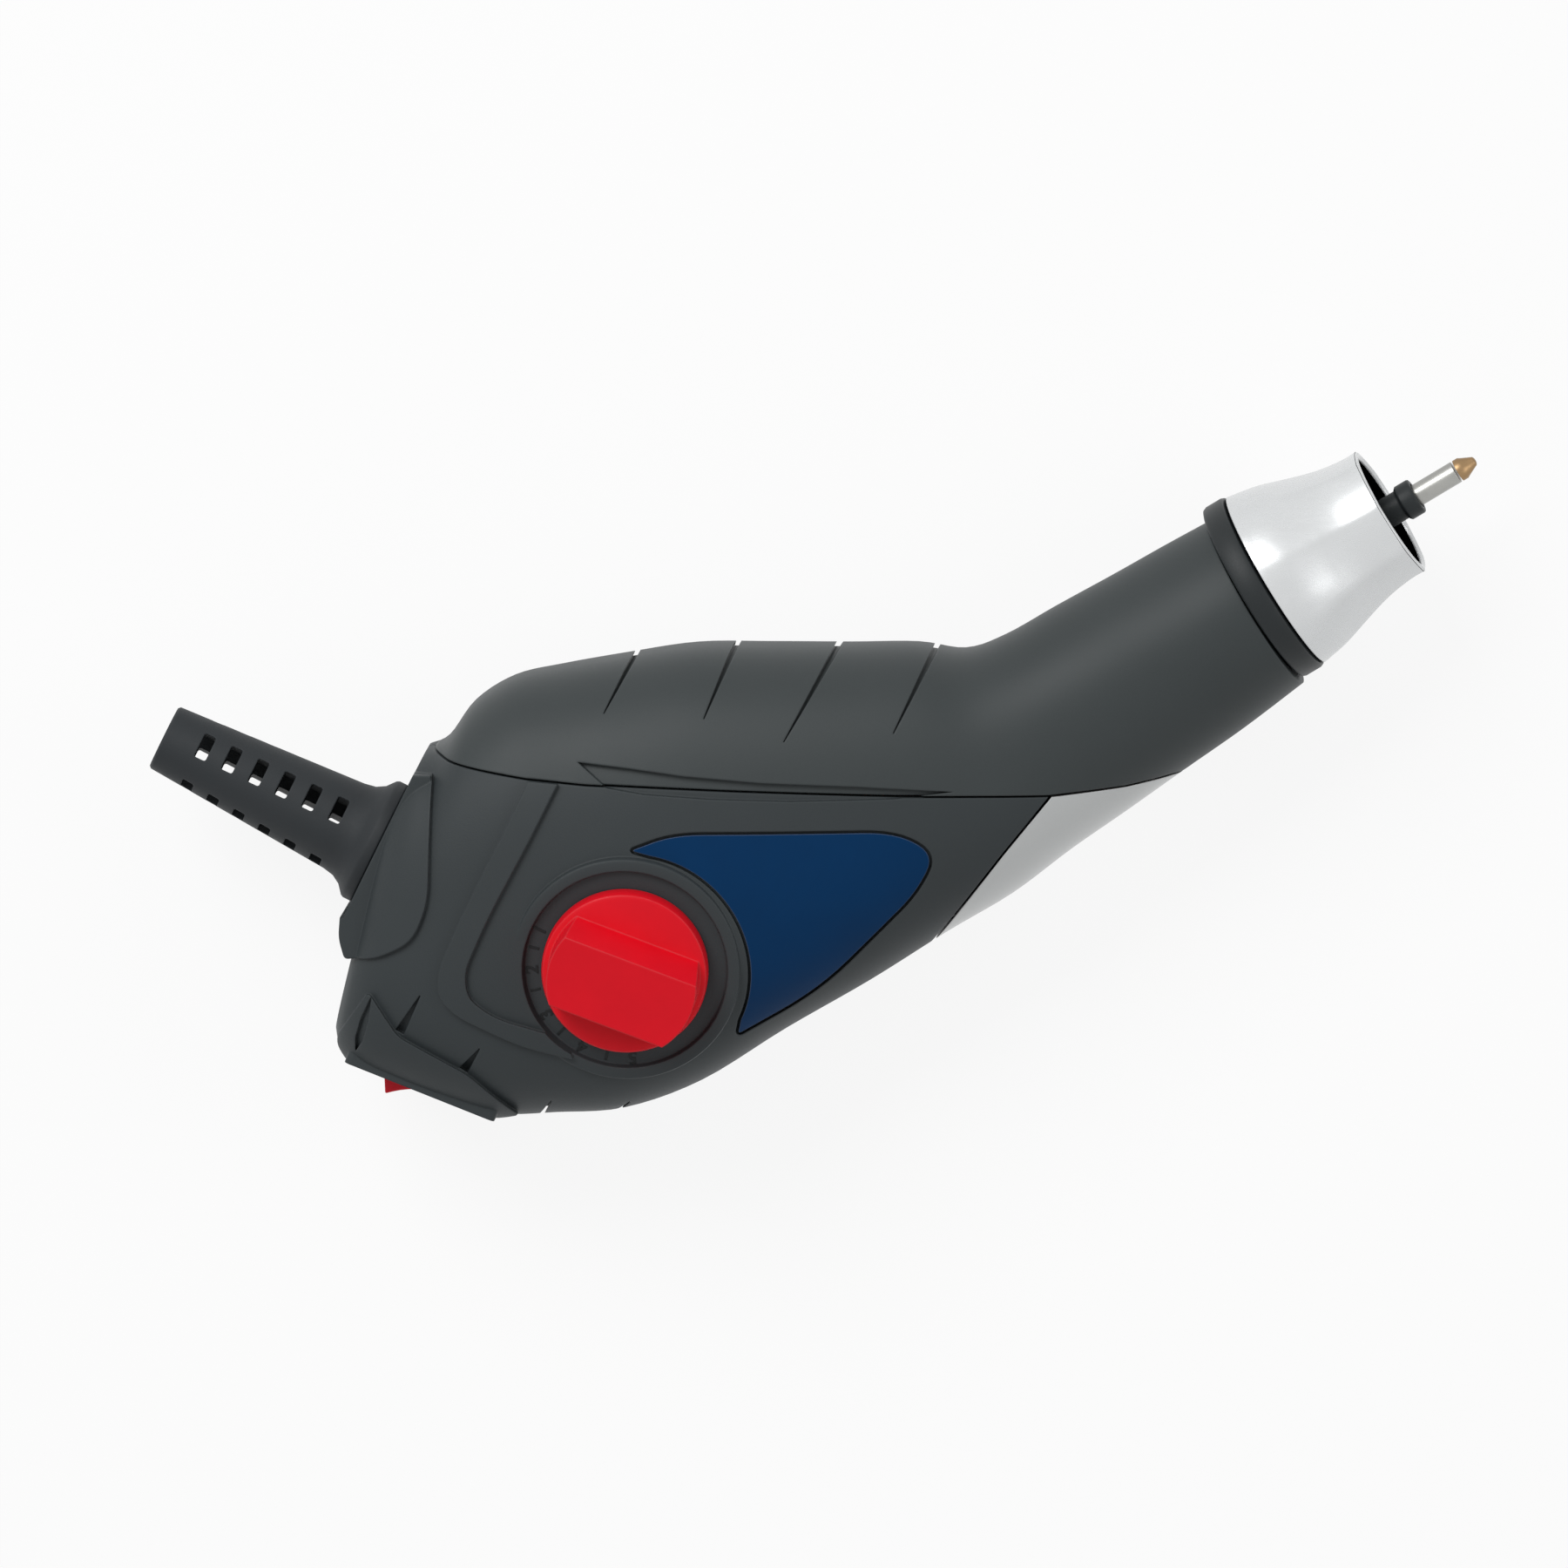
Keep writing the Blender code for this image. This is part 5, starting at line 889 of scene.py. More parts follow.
def ribbon(name, shares, width, depth):
    """A narrow crease that follows a line and fades at both ends."""
    points = [place(*share).xy for share in shares]
    above, below = [], []
    for i, point in enumerate(points):
        ahead = points[min(i + 1, len(points) - 1)] - points[max(i - 1, 0)]
        side = Vector((-ahead.y, ahead.x)).normalized() * (width / 2)
        if i in (0, len(points) - 1):
            side *= 0.1
        above.append(tuple(point + side))
        below.append(tuple(point - side))
    return sunk(name, above + below[::-1], depth)


def top_cover():
    size = sizes()
    reach = size.reach
    region = outline(PARTING) + outline(((1.2, 0.40), (1.2, 0.9), (-0.45, 0.9)))
    form = common("top_cover", body_form("top_cover"), prism("cover_region", region, -deep(), deep()))
    bore = mesh_of(rod(COLLAR_BORE_RADIUS, reach - 0.014, reach + OVERRUN), "barrel_bore", along_nose())
    tools = [
        grooves("grip_grooves", GRIP_GROOVES, 0.0011, size.groove_depth * 0.7),
        sunk("cover_valley", outline(VALLEY), 0.0009),
        hollow("cover_hollow"),
        bore,
        rest_cut(),
    ]
    piece("grip_cover", cut("grip_cover", form, *tools), "cover", "top_cover")


def lower_outline():
    """The lower shells' outline: under the parting line, up to the accent panel."""
    parting = outline(PARTING[: PARTING_CORNER + 1], sizes().seam)
    return parting + outline(ACCENT_EDGE) + outline(((0.38, -0.40), (-0.55, -0.40), (-0.55, 0.33)))


def socket_form():
    bm = plate(bent(SOCKET), -SOCKET_HALF_HEIGHT, SOCKET_HALF_HEIGHT)
    return mesh_of(eased(bm, 0.0028, 5, 60.0), "cord_socket", ROOT)


def hood_land():
    half = (place(*LAND[1]) - place(*LAND[0])).length / 2
    bm = block((-half, -0.0012, -LAND_HALF_HEIGHT), (half, OVERRUN, LAND_HALF_HEIGHT))
    return mesh_of(eased(bm, 0.0008, 3), "hood_land", switch_frame())


def boss_columns(name, low, high):
    spots = [Matrix.Translation(place(*boss[:2])) for boss in BOSSES]
    return joined(name, [mesh_of(rod(BOSS_RADIUS, low, high), name, spot) for spot in spots], ROOT)


def screw_ways(name, far):
    """The holes of the housing's screws, with their sunk heads on the far side."""
    narrow, wide = SCREW_WAY_RADIUS, SCREW_HEAD_WAY_RADIUS
    ways = []
    for x, y, depth in BOSSES:
        seat = 0.0021 - depth * sizes().half_width
        if far:
            profile = [(0.0, OVERRUN), (narrow, OVERRUN), (narrow, seat)]
            profile += [(wide, seat), (wide, -deep()), (0.0, -deep())]
        else:
            profile = [(0.0, 0.0078), (narrow, 0.0078), (narrow, -OVERRUN), (0.0, -OVERRUN)]
        ways.append(mesh_of(spun(profile, steps=48), name, Matrix.Translation(place(x, y))))
    return joined(name, ways, ROOT)


def shell_form(name):
    """The outside of a lower shell before it is halved and hollowed."""
    pad = [(x + 0.0015, y + 0.0010, run) for x, y, run in SOCKET]
    forms = [hood_land(), raised("switch_hood", HOOD), socket_form(), raised("socket_pad", pad)]
    forms.append(raised("side_band", BAND))
    half = (place(*LAND[1]) - place(*LAND[0])).length / 2 + 0.0006
    under_land = block((-half, -OVERRUN, -deep()), (half, 0.0001, deep()))
    past_seat = block((0.0, -0.0188, -deep()), (2 * OVERRUN, 0.0094, deep()))
    steps = [(form, "UNION") for form in forms]
    steps.append((mesh_of(under_land, "under_land", switch_frame()), "DIFFERENCE"))
    steps.append((mesh_of(past_seat, "past_seat", cord_frame()), "DIFFERENCE"))
    return carved(name, body_form(name), steps)


def shell_openings():
    """What both lower shells leave open: the boot's neck, the switch, and the grooves under the toe."""
    narrow = BOOT_NECK_RADIUS + sizes().seam
    wide = BOOT_HEEL_RADIUS + sizes().seam
    neck = [(0.0, OVERRUN), (narrow, OVERRUN), (narrow, -0.0039)]
    neck += [(wide, -0.0039), (wide, -0.0105), (0.0, -0.0105)]
    switch_way = block((-0.0083, -OVERRUN, -0.0050), (0.0083, 0.0120, 0.0050))
    bezel_pocket = block((-0.0095, -OVERRUN, -0.0062), (0.0095, 0.0015, 0.0062))
    depth = sizes().groove_depth
    return [
        mesh_of(spun(neck), "boot_neck_way", cord_frame() @ turn(math.radians(90.0), "Y")),
        mesh_of(switch_way, "switch_way", switch_frame()),
        mesh_of(bezel_pocket, "bezel_pocket", switch_frame()),
        grooves("toe_grooves", TOE_GROOVES, TRIM_GROOVE_WIDTH, depth),
        grooves("hood_grooves", HOOD_GROOVES, TRIM_GROOVE_WIDTH, depth, 0.0),
    ]


def far_shell():
    side = prism("far_side", lower_outline(), -deep(), -sizes().seam / 2)
    half = common("far_half", shell_form("far_form"), side)
    room = cut("far_room", hollow("far_hollow"), boss_columns("far_bosses", -deep(), OVERRUN))
    tools = [rest_cut(), room] + shell_openings() + [screw_ways("far_screw_ways", True)]
    piece("far_shell", cut("far_shell", half, *tools), "shell", "housing_far")


def scale_ring():
    """The round ring that stands out of the near shell round the dial, with eased rims."""
    size = sizes()
    low = size.plate_level - 0.010
    rim = 0.0004
    profile = [
        (0.0, low),
        (size.plate_radius, low),
        (size.plate_radius, size.plate_level - rim),
        (size.plate_radius - 0.3 * rim, size.plate_level - 0.3 * rim),
        (size.plate_radius - rim, size.plate_level),
        (0.0, size.plate_level),
    ]
    return mesh_of(spun(profile), "scale_ring", dial_frame())


def dial_well():
    size = sizes()
    floor = size.plate_level - size.well_depth
    above = size.plate_level + OVERRUN
    profile = [(0.0, floor), (size.well_radius - 0.0003, floor)]
    profile += [(size.well_radius, size.plate_level + 0.0002), (size.well_radius, above), (0.0, above)]
    return mesh_of(spun(profile), "dial_well", dial_frame())


def plate_centre():
    top = ROOT.inverted() @ dial_frame() @ Vector((0.0, 0.0, sizes().plate_level))
    return top.xy


def label_outline(margin):
    """The label's outline: round the dial's ring, and straight out to its corners, moved out by margin."""
    reach = sizes().reach
    centre = plate_centre() / reach + Vector((0.007, -0.003))
    radius = sizes().plate_radius / reach + 0.007
    rows = list(LABEL)
    for k in range(33):
        around = math.radians(-26.0 + 106.0 * k / 32)
        rows.append((centre.x + radius * math.cos(around), centre.y + radius * math.sin(around), 0.0))
    points = [Vector(point) for point in bent(rows)]
    found = []
    for i, corner in enumerate(points):
        before = (corner - points[i - 1]).normalized()
        after = (points[(i + 1) % len(points)] - corner).normalized()
        outward = Vector((-before.y, before.x)) + Vector((-after.y, after.x))
        found.append(tuple(corner + outward * (margin / (1 + before.dot(after)))))
    return found


def near_shell():
    size = sizes()
    form = carved("near_form", shell_form("near_form"), [(scale_ring(), "UNION")])
    half = common("near_half", form, prism("near_side", lower_outline(), size.seam / 2, deep()))
    ceiling = size.plate_level - size.well_depth - WALL
    seat = mesh_of(rod(size.plate_radius + size.seam, ceiling, deep(), 96), "dial_seat", dial_frame())
    bosses = boss_columns("near_bosses", -OVERRUN, deep())
    room = cut("near_room", hollow("near_hollow"), bosses, seat)
    hub_way = rod(0.00325, ceiling - OVERRUN, size.plate_level + OVERRUN / 2)
    tools = [room] + shell_openings()
    tools += [
        screw_ways("near_screw_ways", False),
        sunk("label_recess", label_outline(0.0004), size.groove_depth),
        sunk("shell_valley", outline(VALLEY), 0.0009),
        ribbon("hood_crease", HOOD_CREASE, 0.0011, -0.0002),
        mesh_of(hub_way, "hub_way", dial_frame()),
        dial_well(),
    ]
    piece("near_shell", cut("near_shell", half, *tools), "shell", "housing_near")


def label_panel():
    region = prism("label_region", label_outline(0.0), WALL, deep())
    form = common("label_panel", body_form("label_face"), region)
    film = cut("label_film", form, body_form("label_back", -0.0005))
    piece("label_film", film, "label", "label_panel")


def accent_panel():
    size = sizes()
    parting = outline(PARTING[PARTING_CORNER:], size.seam)
    corner = Vector(outline(PARTING)[PARTING_CORNER]) + Vector((size.seam * 1.5, -size.seam))
    edge = [(x + size.seam * 1.3, y) for x, y in outline(ACCENT_EDGE)]
    region = [tuple(corner)] + edge + outline(((0.60, -0.10), (0.90, 0.18))) + parting[:0:-1]
    form = common("accent_form", body_form("accent_form"), prism("accent_region", region, -deep(), deep()))
    skin = cut("accent_skin", form, body_form("accent_back", -0.0016, True), rest_cut())
    piece("accent_skin", skin, "silver", "accent_panel")


# The boot


def cord_boot():
    end = sizes().boot_length
    profile = [
        (BOOT_BORE_RADIUS, end - 0.0003),
        (0.0039, end),
        (0.00435, end),
        (0.00465, end - 0.0003),
        (0.0064, BOOT_FLARE_LENGTH),
        (0.0067, 0.0040),
        (0.0074, 0.0028),
        (0.0086, 0.0018),
        (0.0088, 0.0014),
        (0.0088, 0.00025),
        (0.0086, 0.00005),
        (BOOT_NECK_RADIUS, 0.00005),
        (BOOT_NECK_RADIUS, -0.0042),
        (BOOT_HEEL_RADIUS, -0.0042),
        (BOOT_HEEL_RADIUS, -0.0062),
        (BOOT_BORE_RADIUS, -0.0062),
    ]
    upright = cord_frame() @ turn(math.radians(90.0), "Y")
    form = mesh_of(spun(profile, True), "cord_boot", upright)
    piece("slotted_boot", cut("slotted_boot", form, boot_slots()), "boot", "cord_boot")


def boot_slots():
    """Six rows of windows, four round the boot in each."""
    half, rows, columns = 0.00085, 6, 4
    start = BOOT_FLARE_LENGTH + half + 0.0006
    pitch = (sizes().boot_length - BOOT_PLAIN_END - half - start) / (rows - 1)
    side = BOOT_BORE_RADIUS * math.tan(math.radians(22.0)) * 1.25
    slots = []
    for row in range(rows):
        x = start + pitch * row
        for k in range(columns):
            slot = eased(block((x - half, -side, 0.0030), (x + half, side, 0.0088)), 0.0003, 3)
            around = math.radians(25.0) + math.tau * k / columns
            slots.append(mesh_of(slot, "boot_slot", turn(around, "X")))
    return joined("boot_slots", slots, cord_frame())


# The dial


def stroke_dial():
    size = sizes()
    low = size.plate_level - size.well_depth + size.seam
    rim = low + 0.0027
    cam_top = size.plate_level - size.well_depth - WALL - 0.0008 - 2 * size.seam
    tail = cam_top - 0.0024
    radius = size.dial_radius
    profile = [
        (0.0, rim),
        (radius - 0.0007, rim),
        (radius - 0.0002, rim - 0.0002),
        (radius, rim - 0.0007),
        (radius, low),
        (0.0030, low),
        (0.0030, cam_top + size.seam),
        (0.0021, cam_top + size.seam),
        (0.0021, tail),
        (0.0013, tail),
        (0.0013, tail + 0.0051),
        (0.0, tail + 0.0051),
    ]
    form = mesh_of(spun(profile), "dial_disc", dial_frame())
    whole = carved("stroke_dial", form, [(dial_grip(rim), "UNION")])
    piece("red_dial", whole, "dial", "stroke_dial", body="dial")


def dial_grip(rim):
    """The bar across the dial, a little off its middle. It narrows upwards, and its ends follow the rim."""
    radius, left, right, spread = sizes().dial_radius, 0.0037, -0.0061, 0.0019
    bottom, top = rim - 0.0008, rim + 0.0055
    bm = block((-radius, right, bottom), (radius, left, top))
    for vert in bm.verts:
        if vert.co.z < (bottom + top) / 2:
            vert.co.y += math.copysign(spread, vert.co.y)
    bar = mesh_of(bm, "grip_bar", dial_frame() @ turn(math.radians(-21.5)))
    end = 0.0102
    profile = [(0.0, top + OVERRUN), (end, top + OVERRUN), (end, top), (radius - 0.0010, bottom)]
    ends = mesh_of(spun(profile + [(0.0, bottom - OVERRUN)], steps=84), "grip_ends", dial_frame())
    return common("grip_bar", bar, ends)


def scale_numbers():
    """The numbers and ticks of the stroke scale, as low moulded marks on the sunk floor."""
    size = sizes()
    floor = size.plate_level - size.well_depth
    for number, angle in enumerate((155, 181, 211, 241, 273), 1):
        curve = bpy.data.curves.new(f"scale_number_{number}", "FONT")
        curve.body = str(number)
        curve.size = size.digit_height
        curve.align_x = "CENTER"
        curve.align_y = "CENTER"
        curve.extrude = 0.00006
        curve.offset = 0.00007
        helper = bpy.data.objects.new(curve.name, curve)
        bpy.context.scene.collection.objects.link(helper)
        graph = bpy.context.evaluated_depsgraph_get()
        mesh = bpy.data.meshes.new_from_object(helper.evaluated_get(graph))
        bpy.data.objects.remove(helper, do_unlink=True)
        bm = bmesh.new()
        bm.from_mesh(mesh)
        bmesh.ops.remove_doubles(bm, verts=bm.verts, dist=0.000002)
        around = math.radians(angle)
        reach = size.digit_ring
        spot = Vector((math.cos(around) * reach, math.sin(around) * reach, floor))
        matrix = dial_frame() @ Matrix.Translation(spot) @ turn(around - math.radians(90.0))
        piece(f"scale_number_{number}", mesh_of(bm, curve.name, matrix), "digits")
    low = (size.digit_ring - 0.0007, -0.00018, floor - 0.00005)
    high = (size.digit_ring + 0.0007, 0.00018, floor + 0.00006)
    places = (167, 194, 225, 257)
    ticks = [mesh_of(block(low, high), "scale_tick", turn(math.radians(angle))) for angle in places]
    piece("scale_ticks", joined("scale_ticks", ticks, dial_frame()), "digits")


# The switch


def switch_frame_piece():
    bezel = eased(block((-0.0092, 0.0, -0.0059), (0.0092, 0.0012, 0.0059)), 0.0003, 3)
    can = block((-0.0080, 0.0003, -0.0047), (0.0080, 0.0109, 0.0047))
    inside = block((-0.0072, -OVERRUN, -0.0036), (0.0072, 0.0090, 0.0036))
    pin_way = mesh_of(rod(0.00125, -0.0058, 0.0058, 32), "pin_way", pivot_frame())
    rim = mesh_of(bezel, "switch_rim", switch_frame())
    form = carved("switch_case", mesh_of(can, "switch_can", switch_frame()), [(rim, "UNION")])
    case = cut("switch_case", form, mesh_of(inside, "switch_inside", switch_frame()), pin_way)
    piece("switch_case", case, "dark", "switch_body")


def switch_rocker():
    half, depth = 0.0059, SWITCH_PIVOT_DEPTH
    pivot = depth + 0.0006
    crown = [(-half, -pivot - 0.0014)]
    for k in range(1, 12):
        x = -half + 2 * half * k / 12
        crown.append((x, -pivot - 0.0014 * (x / half) ** 2))
    shoulder, waist = (half * 1.11, -depth + 0.0014), (half * 1.05, 0.0)
    points = crown + [(half, -pivot - 0.0014), shoulder, waist, (half / 2, 0.0022), (-half / 2, 0.0022)]
    points += [(-waist[0], waist[1]), (-shoulder[0], shoulder[1])]
    bm = eased(plate(points, -0.0033, 0.0033), 0.00025, 3, 40.0)
    form = mesh_of(bm, "red_rocker", pivot_frame() @ turn(math.radians(13.0)))
    pin = mesh_of(rod(0.0010, -0.0047, 0.0047, 32), "rocker_pin", pivot_frame())
    whole = carved("red_rocker", form, [(pin, "UNION")])
    piece("red_rocker", whole, "rocker", "switch_rocker", body="rocker")


# The nose


def facet(angle, count, softness):
    """How far a form with soft sides draws in from its round one at an angle, as a share of the radius."""
    half = math.pi / count
    offset = (angle % (2 * half)) - half
    return softness * (1 - math.cos(half) / math.cos(offset))


def nose_collar():
    reach = sizes().reach
    low, high, edge = reach + 0.00005, reach + 0.0035, 0.0006
    radius = COLLAR_RADIUS
    profile = [
        (COLLAR_BORE_RADIUS, high),
        (radius - edge, high),
        (radius - 0.3 * edge, high - 0.3 * edge),
        (radius, high - edge),
        (radius, low + edge),
        (radius - 0.3 * edge, low + 0.3 * edge),
        (radius - edge, low),
        (COLLAR_BORE_RADIUS, low),
    ]
    piece("dark_collar", mesh_of(spun(profile, True), "dark_collar", along_nose()), "dark", "nose_collar")


def nose_cap():
    """The flared cap. Its outside has soft facets that fade out towards its base."""
    base = sizes().reach + 0.0038
    span, base_radius, mouth_radius = 0.0183, 0.0130, 0.0095
    outside = []
    for along, fall in fine_profile(CAP_PROFILE, 6):
        outside.append((base_radius + (mouth_radius - base_radius) * fall, base + span * along))
    inside = [(radius - 0.0012, height) for radius, height in outside if height > base + 0.2 * span]
    rim_radius, rim_height = outside[-1]
    lip = [(rim_radius - 0.0003, rim_height), (rim_radius - 0.0009, rim_height)]
    outside[-1] = (rim_radius, rim_height - 0.0003)
    inside[-1] = (rim_radius - 0.0012, rim_height - 0.0003)
    sleeve = [(0.0089, base), (0.0089, base - 0.0112), (0.0101, base - 0.0112), (0.0101, base)]
    bm = spun(outside + lip + inside[::-1] + sleeve, True)
    bmesh.ops.recalc_face_normals(bm, faces=bm.faces)
    for vert in bm.verts:
        radius = math.hypot(vert.co.x, vert.co.y)
        along = (vert.co.z - base) / span
        if along > 0.04 and radius > 0.0088:
            angle = math.atan2(vert.co.y, vert.co.x)
            draw = 1 - facet(angle + math.radians(14.0), 8, 0.55 * min(1.0, along * 2.2))
            vert.co.x *= draw
            vert.co.y *= draw
    # Inward faces by the mouth and the sleeve's faces take the inner finish, which is painted shade for the
    # cap's hollow.
    for face in bm.faces:
        middle = face.calc_center_median()
        inward = face.normal.x * middle.x + face.normal.y * middle.y < 0
        face.material_index = int(middle.z < base or (inward and middle.z < rim_height - 0.0004))
    piece("plated_cap", mesh_of(bm, "plated_cap", along_nose()), "chrome", "nose_cap", inner="mouth")


def fine_profile(rows, steps):
    """More points on a smooth curve through a profile's rows."""
    last = len(rows) - 1
    found = []
    for i in range(last):
        around = [rows[max(0, i - 1)], rows[i], rows[i + 1], rows[min(last, i + 2)]]
        for step in range(steps):
            found.append(tuple(blend(*values, step / steps) for values in zip(*around)))
    return found + [rows[last]]


def stylus_parts():
    front, radius, edge = HOLDER_FRONT, 0.00255, 0.0003
    holder = [
        (0.0, 0.1142),
        (0.00185, 0.1142),
        (0.00185, front),
        (radius - edge, front),
        (radius - 0.3 * edge, front - 0.3 * edge),
        (radius, front - edge),
        (radius, 0.1238 + edge),
        (radius - edge, 0.1238),
        (0.0021, 0.1238),
        (0.0021, 0.1208),
        (radius - edge, 0.1208),
        (radius, 0.1208 - edge),
        (radius, 0.0860),
        (0.0019, 0.0860),
        (0.0019, 0.0903),
        (0.0, 0.0903),
    ]
    form = mesh_of(spun(holder), "stylus_holder", along_nose())
    grub_axis = nose_frame() @ Matrix.Translation((0.1192, 0.0, 0.0)) @ turn(math.radians(-90.0), "X")
    hole = mesh_of(rod(0.0012, 0.00155, 0.0051, 32), "grub_way", grub_axis)
    piece("dark_holder", cut("dark_holder", form, hole), "dark", "stylus_holder", body="striker")
    grub = eased(rod(0.0009, 0.00185, 0.00315, 32), 0.00012, 2)
    piece("grub_screw", mesh_of(grub, "grub_screw", grub_axis), "steel", "holder_grub_screw", body="striker")
    shank = [
        (0.0, front + 0.0062),
        (0.00155, front + 0.0062),
        (0.00155, 0.1151),
        (0.00125, 0.1145),
        (0.0, 0.1145),
    ]
    form = mesh_of(spun(shank), "steel_shank", along_nose())
    piece("steel_shank", form, "stylus", "stylus_shank", body="striker")
    rear = front + 0.0065
    tip = [(0.0, rear + 0.0028)]
    for k in range(1, 9):
        around = math.radians(90.0) * k / 8
        tip.append((0.0007 * math.sin(around), rear + 0.0028 - 0.00035 * (1 - math.cos(around))))
    tip += [(0.00135, rear + 0.0011), (0.00155, rear + 0.00075), (0.00155, rear), (0.0, rear)]
    form = mesh_of(spun(tip), "brazed_point", along_nose())
    piece("brazed_point", form, "tip", "stylus_tip", body="striker")


# Screws


def cross_arms(radius, depth, level):
    """The two arms of the cross recess in a screw's head."""
    low = (-radius * 0.62, -radius * 0.11, level - depth)
    high = (radius * 0.62, radius * 0.11, level + 0.001)
    angles = (3.0, 93.0)
    return [mesh_of(block(low, high), "cross_arm", turn(math.radians(angle))) for angle in angles]


def housing_screws():
    radius, shank, crown, tail = SCREW_HEAD_RADIUS, 0.00145, 0.0003, -0.0075
    for k, (x, y, depth) in enumerate(BOSSES, 1):
        top = depth * sizes().half_width
        seat = top - SCREW_HEAD_HEIGHT
        profile = [
            (0.0, top),
            (0.0018, top - 0.2 * crown),
            (0.0025, top - crown),
            (radius, top - 3 * crown),
            (radius, seat),
            (shank, seat),
            (shank, tail + 0.001),
            (0.0008, tail),
            (0.0, tail),
        ]
        matrix = ROOT @ Matrix.Translation(place(x, y)) @ turn(math.pi, "X")
        form = mesh_of(spun(profile, steps=48), "housing_screw")
        head = cut("housing_screw", form, *cross_arms(radius, 0.0008, top))
        piece(f"case_screw_{k}", joined("case_screw", [head], matrix), "steel", f"housing_screw_{k}")


# What keeps its CAD shape

CARRIED = {
    "dark": ("cord_clamp", "front_bush"),
    "nylon": ("dial_cam", "stop_slider", "coil_bobbin"),
    "steel": (
        "cord_clamp_screw_1",
        "cord_clamp_screw_2",
        "switch_terminal_rear",
        "switch_terminal_front",
        "yoke_screw_1",
        "yoke_screw_2",
        "return_spring",
        "stroke_spring",
        "dial_washer",
        "dial_screw",
        "drive_rod",
        "spring_seat",
        "plunger",
    ),
    "sheet": ("yoke_stack",),
    "copper": ("coil_winding",),
    "live": ("lead_live",),
    "neutral": ("lead_neutral",),
    "switched": ("lead_switched",),
}


def finish_inner_works():
    for look, nodes in CARRIED.items():
        for name in nodes:
            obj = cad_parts[name]
            for slot in obj.material_slots:
                slot.material = look_for(look)


# The stage


def floor_material():
    """A pale floor that keeps the pen's shadow and shows white where nothing stands."""
    look = Look("pale_floor")
    output = look.tree.nodes["Material Output"]
    tone = bpy.context.scene.pen_colours.floor
    look.finish(Base_Color=tuple(tone), Roughness=0.9, Specular_IOR_Level=0.1)
    seen = look.node("ShaderNodeLightPath", {}, {}, "Is Camera Ray")
    mirrored = look.node("ShaderNodeLightPath", {}, {}, "Is Glossy Ray")
    through = look.node("ShaderNodeLightPath", {}, {}, "Is Transmission Ray")
    white = look.node("ShaderNodeEmission", {}, {"Color": (1.0, 1.0, 1.0), "Strength": 1.0})
    share = (seen + mirrored + through).within() * 0.88
    lit = Signal(look, look.shader.outputs[0])
    mixed = look.node("ShaderNodeMixShader", {}, {0: share, 1: lit, 2: white})
    look.feed(output.inputs["Surface"], mixed)
    return look.material


def studio_world():
    world = bpy.data.worlds.new("studio")
    world.use_nodes = True
    look = Look("studio", world.node_tree)
    seen = look.node("ShaderNodeLightPath", {}, {}, "Is Camera Ray")
    mirrored = look.node("ShaderNodeLightPath", {}, {}, "Is Glossy Ray")
    through = look.node("ShaderNodeLightPath", {}, {}, "Is Transmission Ray")
    back = world.node_tree.nodes["Background"]
    look.feed(back.inputs["Color"], (1.0, 1.0, 1.0))
    look.feed(back.inputs["Strength"], 0.34 + (seen + mirrored + through).within() * 0.66)
    bpy.context.scene.world = world


def soft_lamp(name, spot, width, watts):
    lamp = bpy.data.lights.new(name, "AREA")
    lamp.shape = "SQUARE"
    lamp.size = width
    lamp.energy = watts
    obj = bpy.data.objects.new(name, lamp)
    bpy.context.scene.collection.objects.link(obj)
    aim = Vector((0.0, 0.0, 0.017)) - Vector(spot)
    obj.matrix_world = Matrix.Translation(spot) @ aim.to_track_quat("-Z", "Y").to_matrix().to_4x4()


def photo_camera():
    """The camera at the photograph's angle: it looks down at the dial side through a long lens."""
    data = bpy.data.cameras.new("photo_camera")
    obj = bpy.data.objects.new("photo_camera", data)
    bpy.context.scene.collection.objects.link(obj)
    back = Vector((0.075, 0.146, 1.0)).normalized()
    aim = Vector((-0.00390, -0.00035, 0.0172))
    distance, half_view, roll = 4.0, 0.1066, math.radians(0.55)
    right = Vector((math.sin(roll), math.cos(roll), 0.0)).cross(back).normalized()
    up = back.cross(right)
    turned = Matrix((right, up, back)).transposed().to_4x4()
    obj.matrix_world = Matrix.Translation(aim + back * distance) @ turned
    data.sensor_width = 36.0
    data.lens = data.sensor_width / 2 * distance / half_view
    data.clip_start, data.clip_end = 0.05, 20.0
    bpy.context.scene.camera = obj


def set_stage():
    scene = bpy.context.scene
    scene.view_settings.view_transform = "Standard"
    bm = bmesh.new()
    bmesh.ops.create_grid(bm, x_segments=8, y_segments=8, size=4.0)
    floor = bpy.data.objects.new("floor", mesh_of(bm, "floor"))
    floor.data.materials.append(floor_material())
    scene.collection.objects.link(floor)
    studio_world()
    soft_lamp("key_lamp", (-0.45, 0.70, 0.85), 0.6, 7.8)
    soft_lamp("side_lamp", (0.85, 0.10, 0.55), 0.5, 1.4)
    photo_camera()


# Operators


def operator(word, label, doc, work):
    """An operator that runs one of the makers above."""

    def execute(self, context):
        work()
        return {"FINISHED"}

    names = {"bl_idname": "engraving_pen." + word, "bl_label": label, "__doc__": doc, "execute": execute}
    return type("PEN_OT_" + word, (bpy.types.Operator,), names)


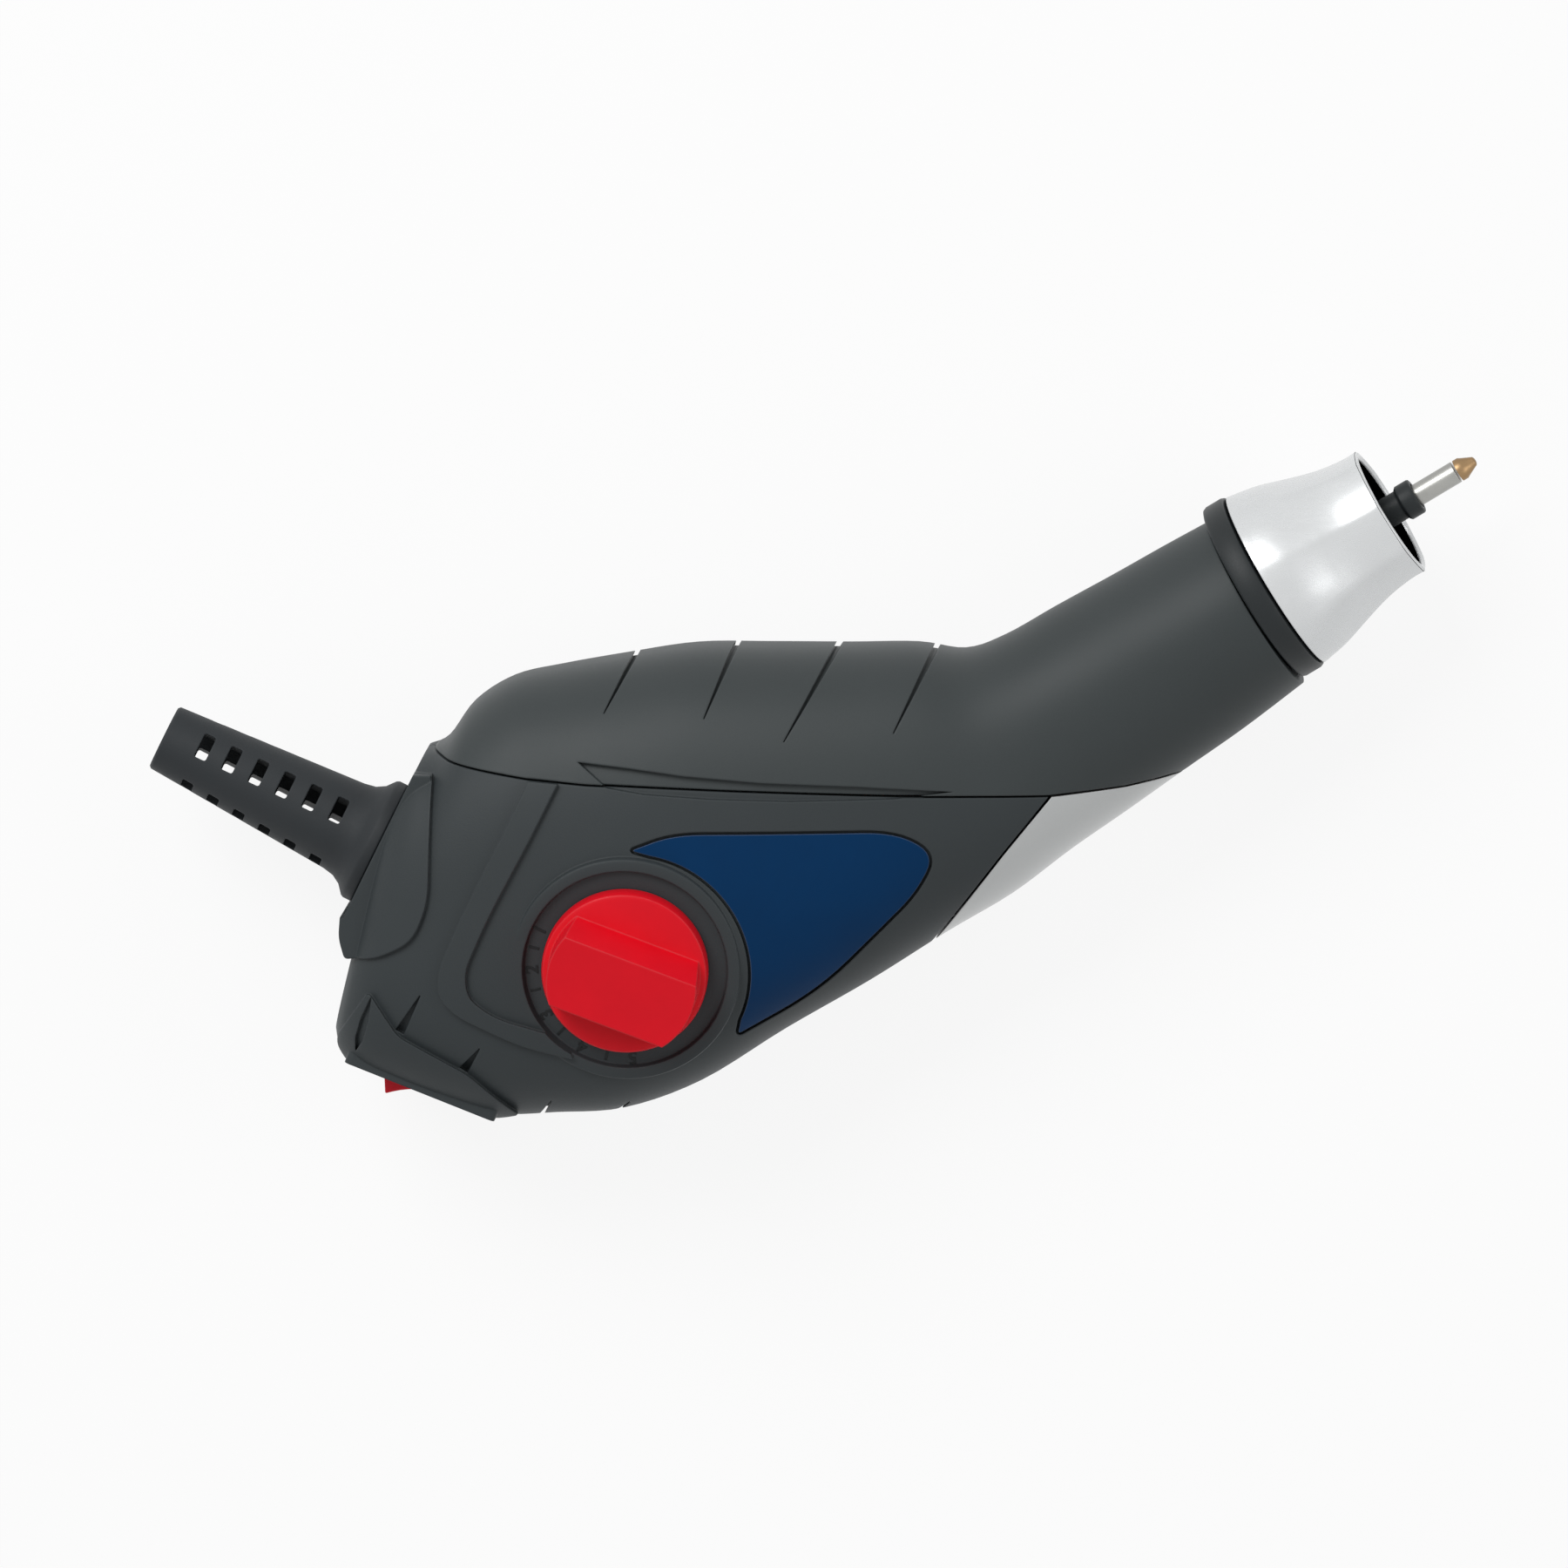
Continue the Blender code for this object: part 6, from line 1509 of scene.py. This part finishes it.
STEPS = (
    operator("stage", "Stage", "Makes the floor, the lamps and the camera", set_stage),
    operator("far_shell", "Far shell", "Makes the lower shell that the pen lies on", far_shell),
    operator("near_shell", "Near shell", "Makes the lower shell that carries the dial", near_shell),
    operator("top_cover", "Grip cover", "Makes the upper cover with its grip grooves", top_cover),
    operator("accent_panel", "Accent panel", "Makes the silver panel", accent_panel),
    operator("label_panel", "Label", "Makes the bare label film", label_panel),
    operator("cord_boot", "Cord boot", "Makes the slotted boot", cord_boot),
    operator("stroke_dial", "Stroke dial", "Makes the dial with its grip bar", stroke_dial),
    operator("scale_numbers", "Scale", "Makes the numbers and ticks round the dial", scale_numbers),
    operator("switch_case", "Switch case", "Makes the switch's case and bezel", switch_frame_piece),
    operator("switch_rocker", "Rocker", "Makes the red rocker", switch_rocker),
    operator("nose_collar", "Nose collar", "Makes the dark collar at the barrel's end", nose_collar),
    operator("nose_cap", "Nose cap", "Makes the plated cap with its soft facets", nose_cap),
    operator("stylus", "Stylus", "Makes the holder, its screw, the shank and the point", stylus_parts),
    operator("screws", "Screws", "Makes the housing screws", housing_screws),
    operator("inner_works", "Inner works", "Finishes the solids that stay", finish_inner_works),
)


class PEN_PT_sidebar(bpy.types.Panel):
    """Lists the pen's makers, sizes and colours."""

    bl_idname = "PEN_PT_sidebar"
    bl_label = "Engraving pen"
    bl_space_type = "VIEW_3D"
    bl_region_type = "UI"
    bl_category = "Engraving pen"

    def draw(self, context):
        for group in (context.scene.pen_sizes, context.scene.pen_colours):
            box = self.layout.box()
            for key in group.__annotations__:
                box.prop(group, key)
        for step in STEPS:
            self.layout.operator(step.bl_idname)


CLASSES = (PenSizes, PenColours, *STEPS, PEN_PT_sidebar)


def register():
    for cls in CLASSES:
        bpy.utils.register_class(cls)
    bpy.types.Scene.pen_sizes = PointerProperty(type=PenSizes)
    bpy.types.Scene.pen_colours = PointerProperty(type=PenColours)


def unregister():
    del bpy.types.Scene.pen_sizes
    del bpy.types.Scene.pen_colours
    for cls in reversed(CLASSES):
        bpy.utils.unregister_class(cls)


def main():
    register()
    for step in STEPS:
        getattr(bpy.ops.engraving_pen, step.bl_idname.split(".")[1])()


if __name__ == "__main__":
    main()
